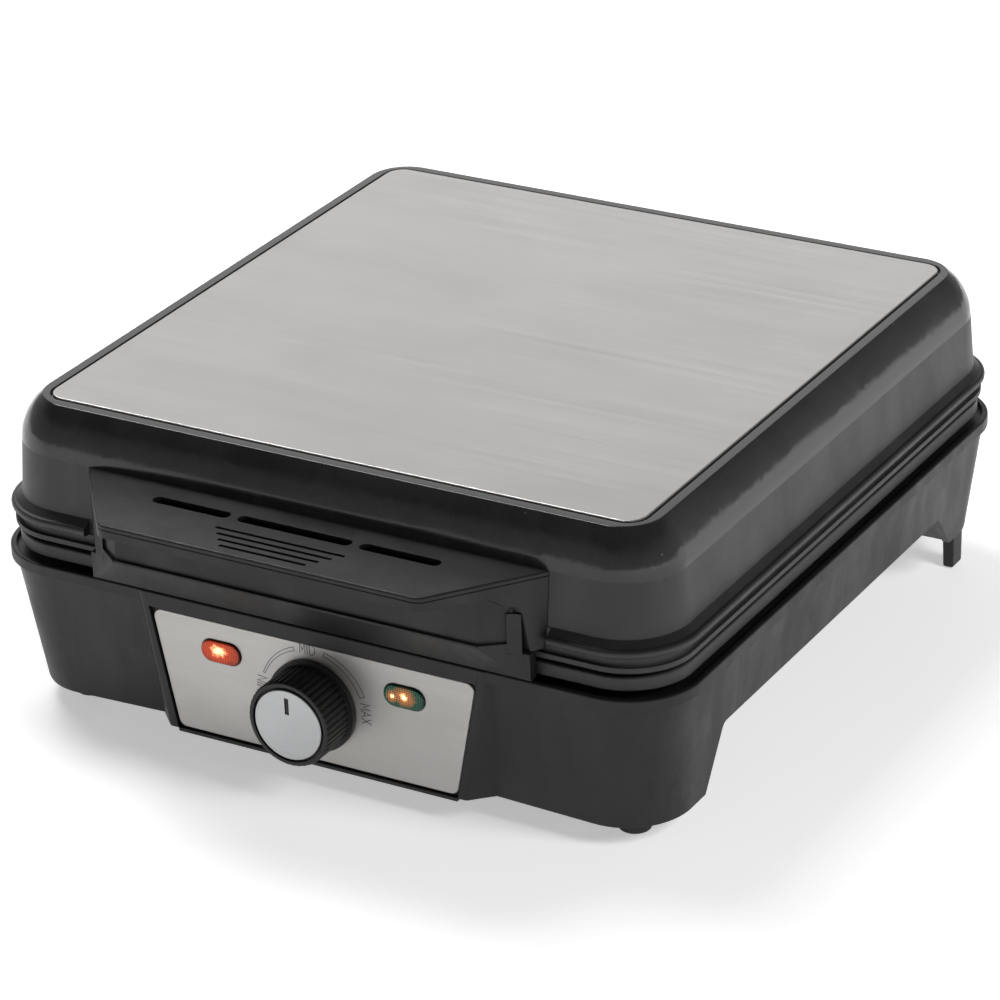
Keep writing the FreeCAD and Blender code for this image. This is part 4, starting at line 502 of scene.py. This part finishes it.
marks = bmesh.new()
for word, angle, turn in (("MIN", 171.5, 82.0), ("MID", 94.0, 0.0), ("MAX", 3.0, -88.0)):
    for stroke in word_lines(word, on_dial(angle), turn):
        ribbon(marks, stroke, LINE)
for arc in ((158.0, 109.0, 0.0008, 0.0015), (76.0, 20.0, 0.0016, 0.0023)):
    ribbon(marks, tapered_arc(*arc), LINE * 0.8, closed=True)
finish_piece("dial_marks", marks, (0, panel_face - INK_GAP, 0), ink("dial ink"), "base")

cap_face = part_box("knob_cap")[0].y
pointer = bmesh.new()
outline = []
for centre_z, first in ((DIAL_Z + POINTER_TO, 0.0), (DIAL_Z + POINTER_FROM, math.pi)):
    for step in range(9):
        angle = first + math.pi * step / 8
        across, above = POINTER_HALF_WIDE * math.cos(angle), POINTER_HALF_WIDE * math.sin(angle)
        outline.append((DIAL_X + across, centre_z + above))
near = [pointer.verts.new((x, 0.0, z)) for x, z in outline]
far = [pointer.verts.new((x, POINTER_THICK, z)) for x, z in outline]
pointer.faces.new(near)
for index in range(len(near)):
    following = (index + 1) % len(near)
    pointer.faces.new((near[following], near[index], far[index], far[following]))
inlay_place = (0, cap_face + POINTER_DEPTH, 0)
finish_piece(
    "knob_pointer_inlay", pointer, inlay_place, MATERIALS["black_plastic"], "knob_body"
)


# ---------------------------------------------------------------- stage, light and camera

FLOOR_HALF = 6.0
FLOOR_DROP = 0.0002  # keeps the floor just under the feet
CAMERA_PLACE = (0.7875, -1.3340, 0.8033)
CAMERA_TURN = (30.51, 25.70, -1.98)  # azimuth, elevation and roll, in degrees
FOCAL_MM, SENSOR_MM = 160.16, 36.0


def area_light(name, place, target, size, power):
    data = bpy.data.lights.new(name, "AREA")
    data.shape = "RECTANGLE"
    data.size, data.size_y = size
    data.energy = power
    light = bpy.data.objects.new(name, data)
    light.location = place
    light.rotation_mode = "QUATERNION"
    light.rotation_quaternion = (Vector(target) - Vector(place)).to_track_quat("-Z", "Y")
    scene.collection.objects.link(light)
    return light


def make_floor():
    mesh = bpy.data.meshes.new("floor")
    half = FLOOR_HALF
    corners = [(-half, -half, 0), (half, -half, 0), (half, half, 0), (-half, half, 0)]
    mesh.from_pydata(corners, [], [(0, 1, 2, 3)])
    floor = bpy.data.objects.new("floor", mesh)
    floor.location.z = -FLOOR_DROP
    scene.collection.objects.link(floor)
    g = Graph("studio floor")
    cloud = g.noise(3.0, 4.0, 0.5)
    # Painted light: the floor glows, weakly within 0.35 m of the middle and more strongly out to 1.1 m and
    # beyond.
    reach = g.add("ShaderNodeVectorMath", {"operation": "LENGTH"}, i0=g.place).outputs["Value"]
    mesh.materials.append(
        g.shade(
            Base_Color=g.mix(g.span(cloud, 0.3, 0.7), grey(0.86), grey(0.9)),
            Roughness=g.span(cloud, 0.3, 0.7, 0.75, 0.85),
            Emission_Color=rgb(1.0, 1.0, 1.0),
            Emission_Strength=g.span(reach, 0.35, 1.1, 0.43, 0.95),
        )
    )


def make_world():
    """Studio room: pale walls all round up to about 25 degrees, and a dark ceiling."""
    world = bpy.data.worlds.new("studio")
    world.use_nodes = True
    tree = world.node_tree
    tree.nodes.clear()
    place = tree.nodes.new("ShaderNodeTexCoord")
    parts = tree.nodes.new("ShaderNodeSeparateXYZ")
    tree.links.new(place.outputs["Generated"], parts.inputs[0])
    ramp = tree.nodes.new("ShaderNodeValToRGB")
    ramp.color_ramp.elements[0].position = 0.0
    ramp.color_ramp.elements[0].color = rgb(0.55, 0.55, 0.55)
    ramp.color_ramp.elements[1].position = 0.62
    ramp.color_ramp.elements[1].color = rgb(0.04, 0.04, 0.04)
    walls = ramp.color_ramp.elements.new(0.42)
    walls.color = rgb(0.34, 0.34, 0.34)
    tree.links.new(parts.outputs["Z"], ramp.inputs["Fac"])
    back = tree.nodes.new("ShaderNodeBackground")
    back.inputs["Strength"].default_value = 0.9
    tree.links.new(ramp.outputs["Color"], back.inputs["Color"])
    out = tree.nodes.new("ShaderNodeOutputWorld")
    tree.links.new(back.outputs[0], out.inputs["Surface"])
    scene.world = world


def make_camera():
    """Camera in front and to the right, looking down."""
    azimuth, elevation, roll = (math.radians(angle) for angle in CAMERA_TURN)
    level = math.cos(elevation)
    back = Vector((math.sin(azimuth) * level, -math.cos(azimuth) * level, math.sin(elevation)))
    right = (-back).cross(Vector((0, 0, 1))).normalized()
    up = right.cross(-back)
    across = right * math.cos(roll) + up * math.sin(roll)
    above = up * math.cos(roll) - right * math.sin(roll)
    data = bpy.data.cameras.new("camera")
    data.lens = FOCAL_MM
    data.sensor_width = SENSOR_MM
    data.clip_start, data.clip_end = 0.05, 50.0
    camera = bpy.data.objects.new("camera", data)
    turn = Matrix((across, above, back)).transposed().to_4x4()
    camera.matrix_world = Matrix.Translation(Vector(CAMERA_PLACE)) @ turn
    scene.collection.objects.link(camera)
    scene.camera = camera


make_floor()
make_world()
make_camera()
scene.view_settings.view_transform = "Standard"
# name, place, what it points at, width and height, power in watts, whether polished faces show it
LIGHTS = [
    ("backdrop", (-1.35, 2.1, 1.15), (0, 0.0, 0.1), (2.4, 1.1), 6.8, True),
    ("overhead", (-0.75, 0.30, 1.45), (0, 0.05, 0.1), (0.5, 0.9), 16.0, True),
    ("side", (1.9, -0.2, 1.5), (0, 0, 0.05), (0.8, 0.8), 30.0, False),
]
for name, place, target, size, power, mirrored in LIGHTS:
    area_light(name, place, target, size, power).visible_glossy = mirrored
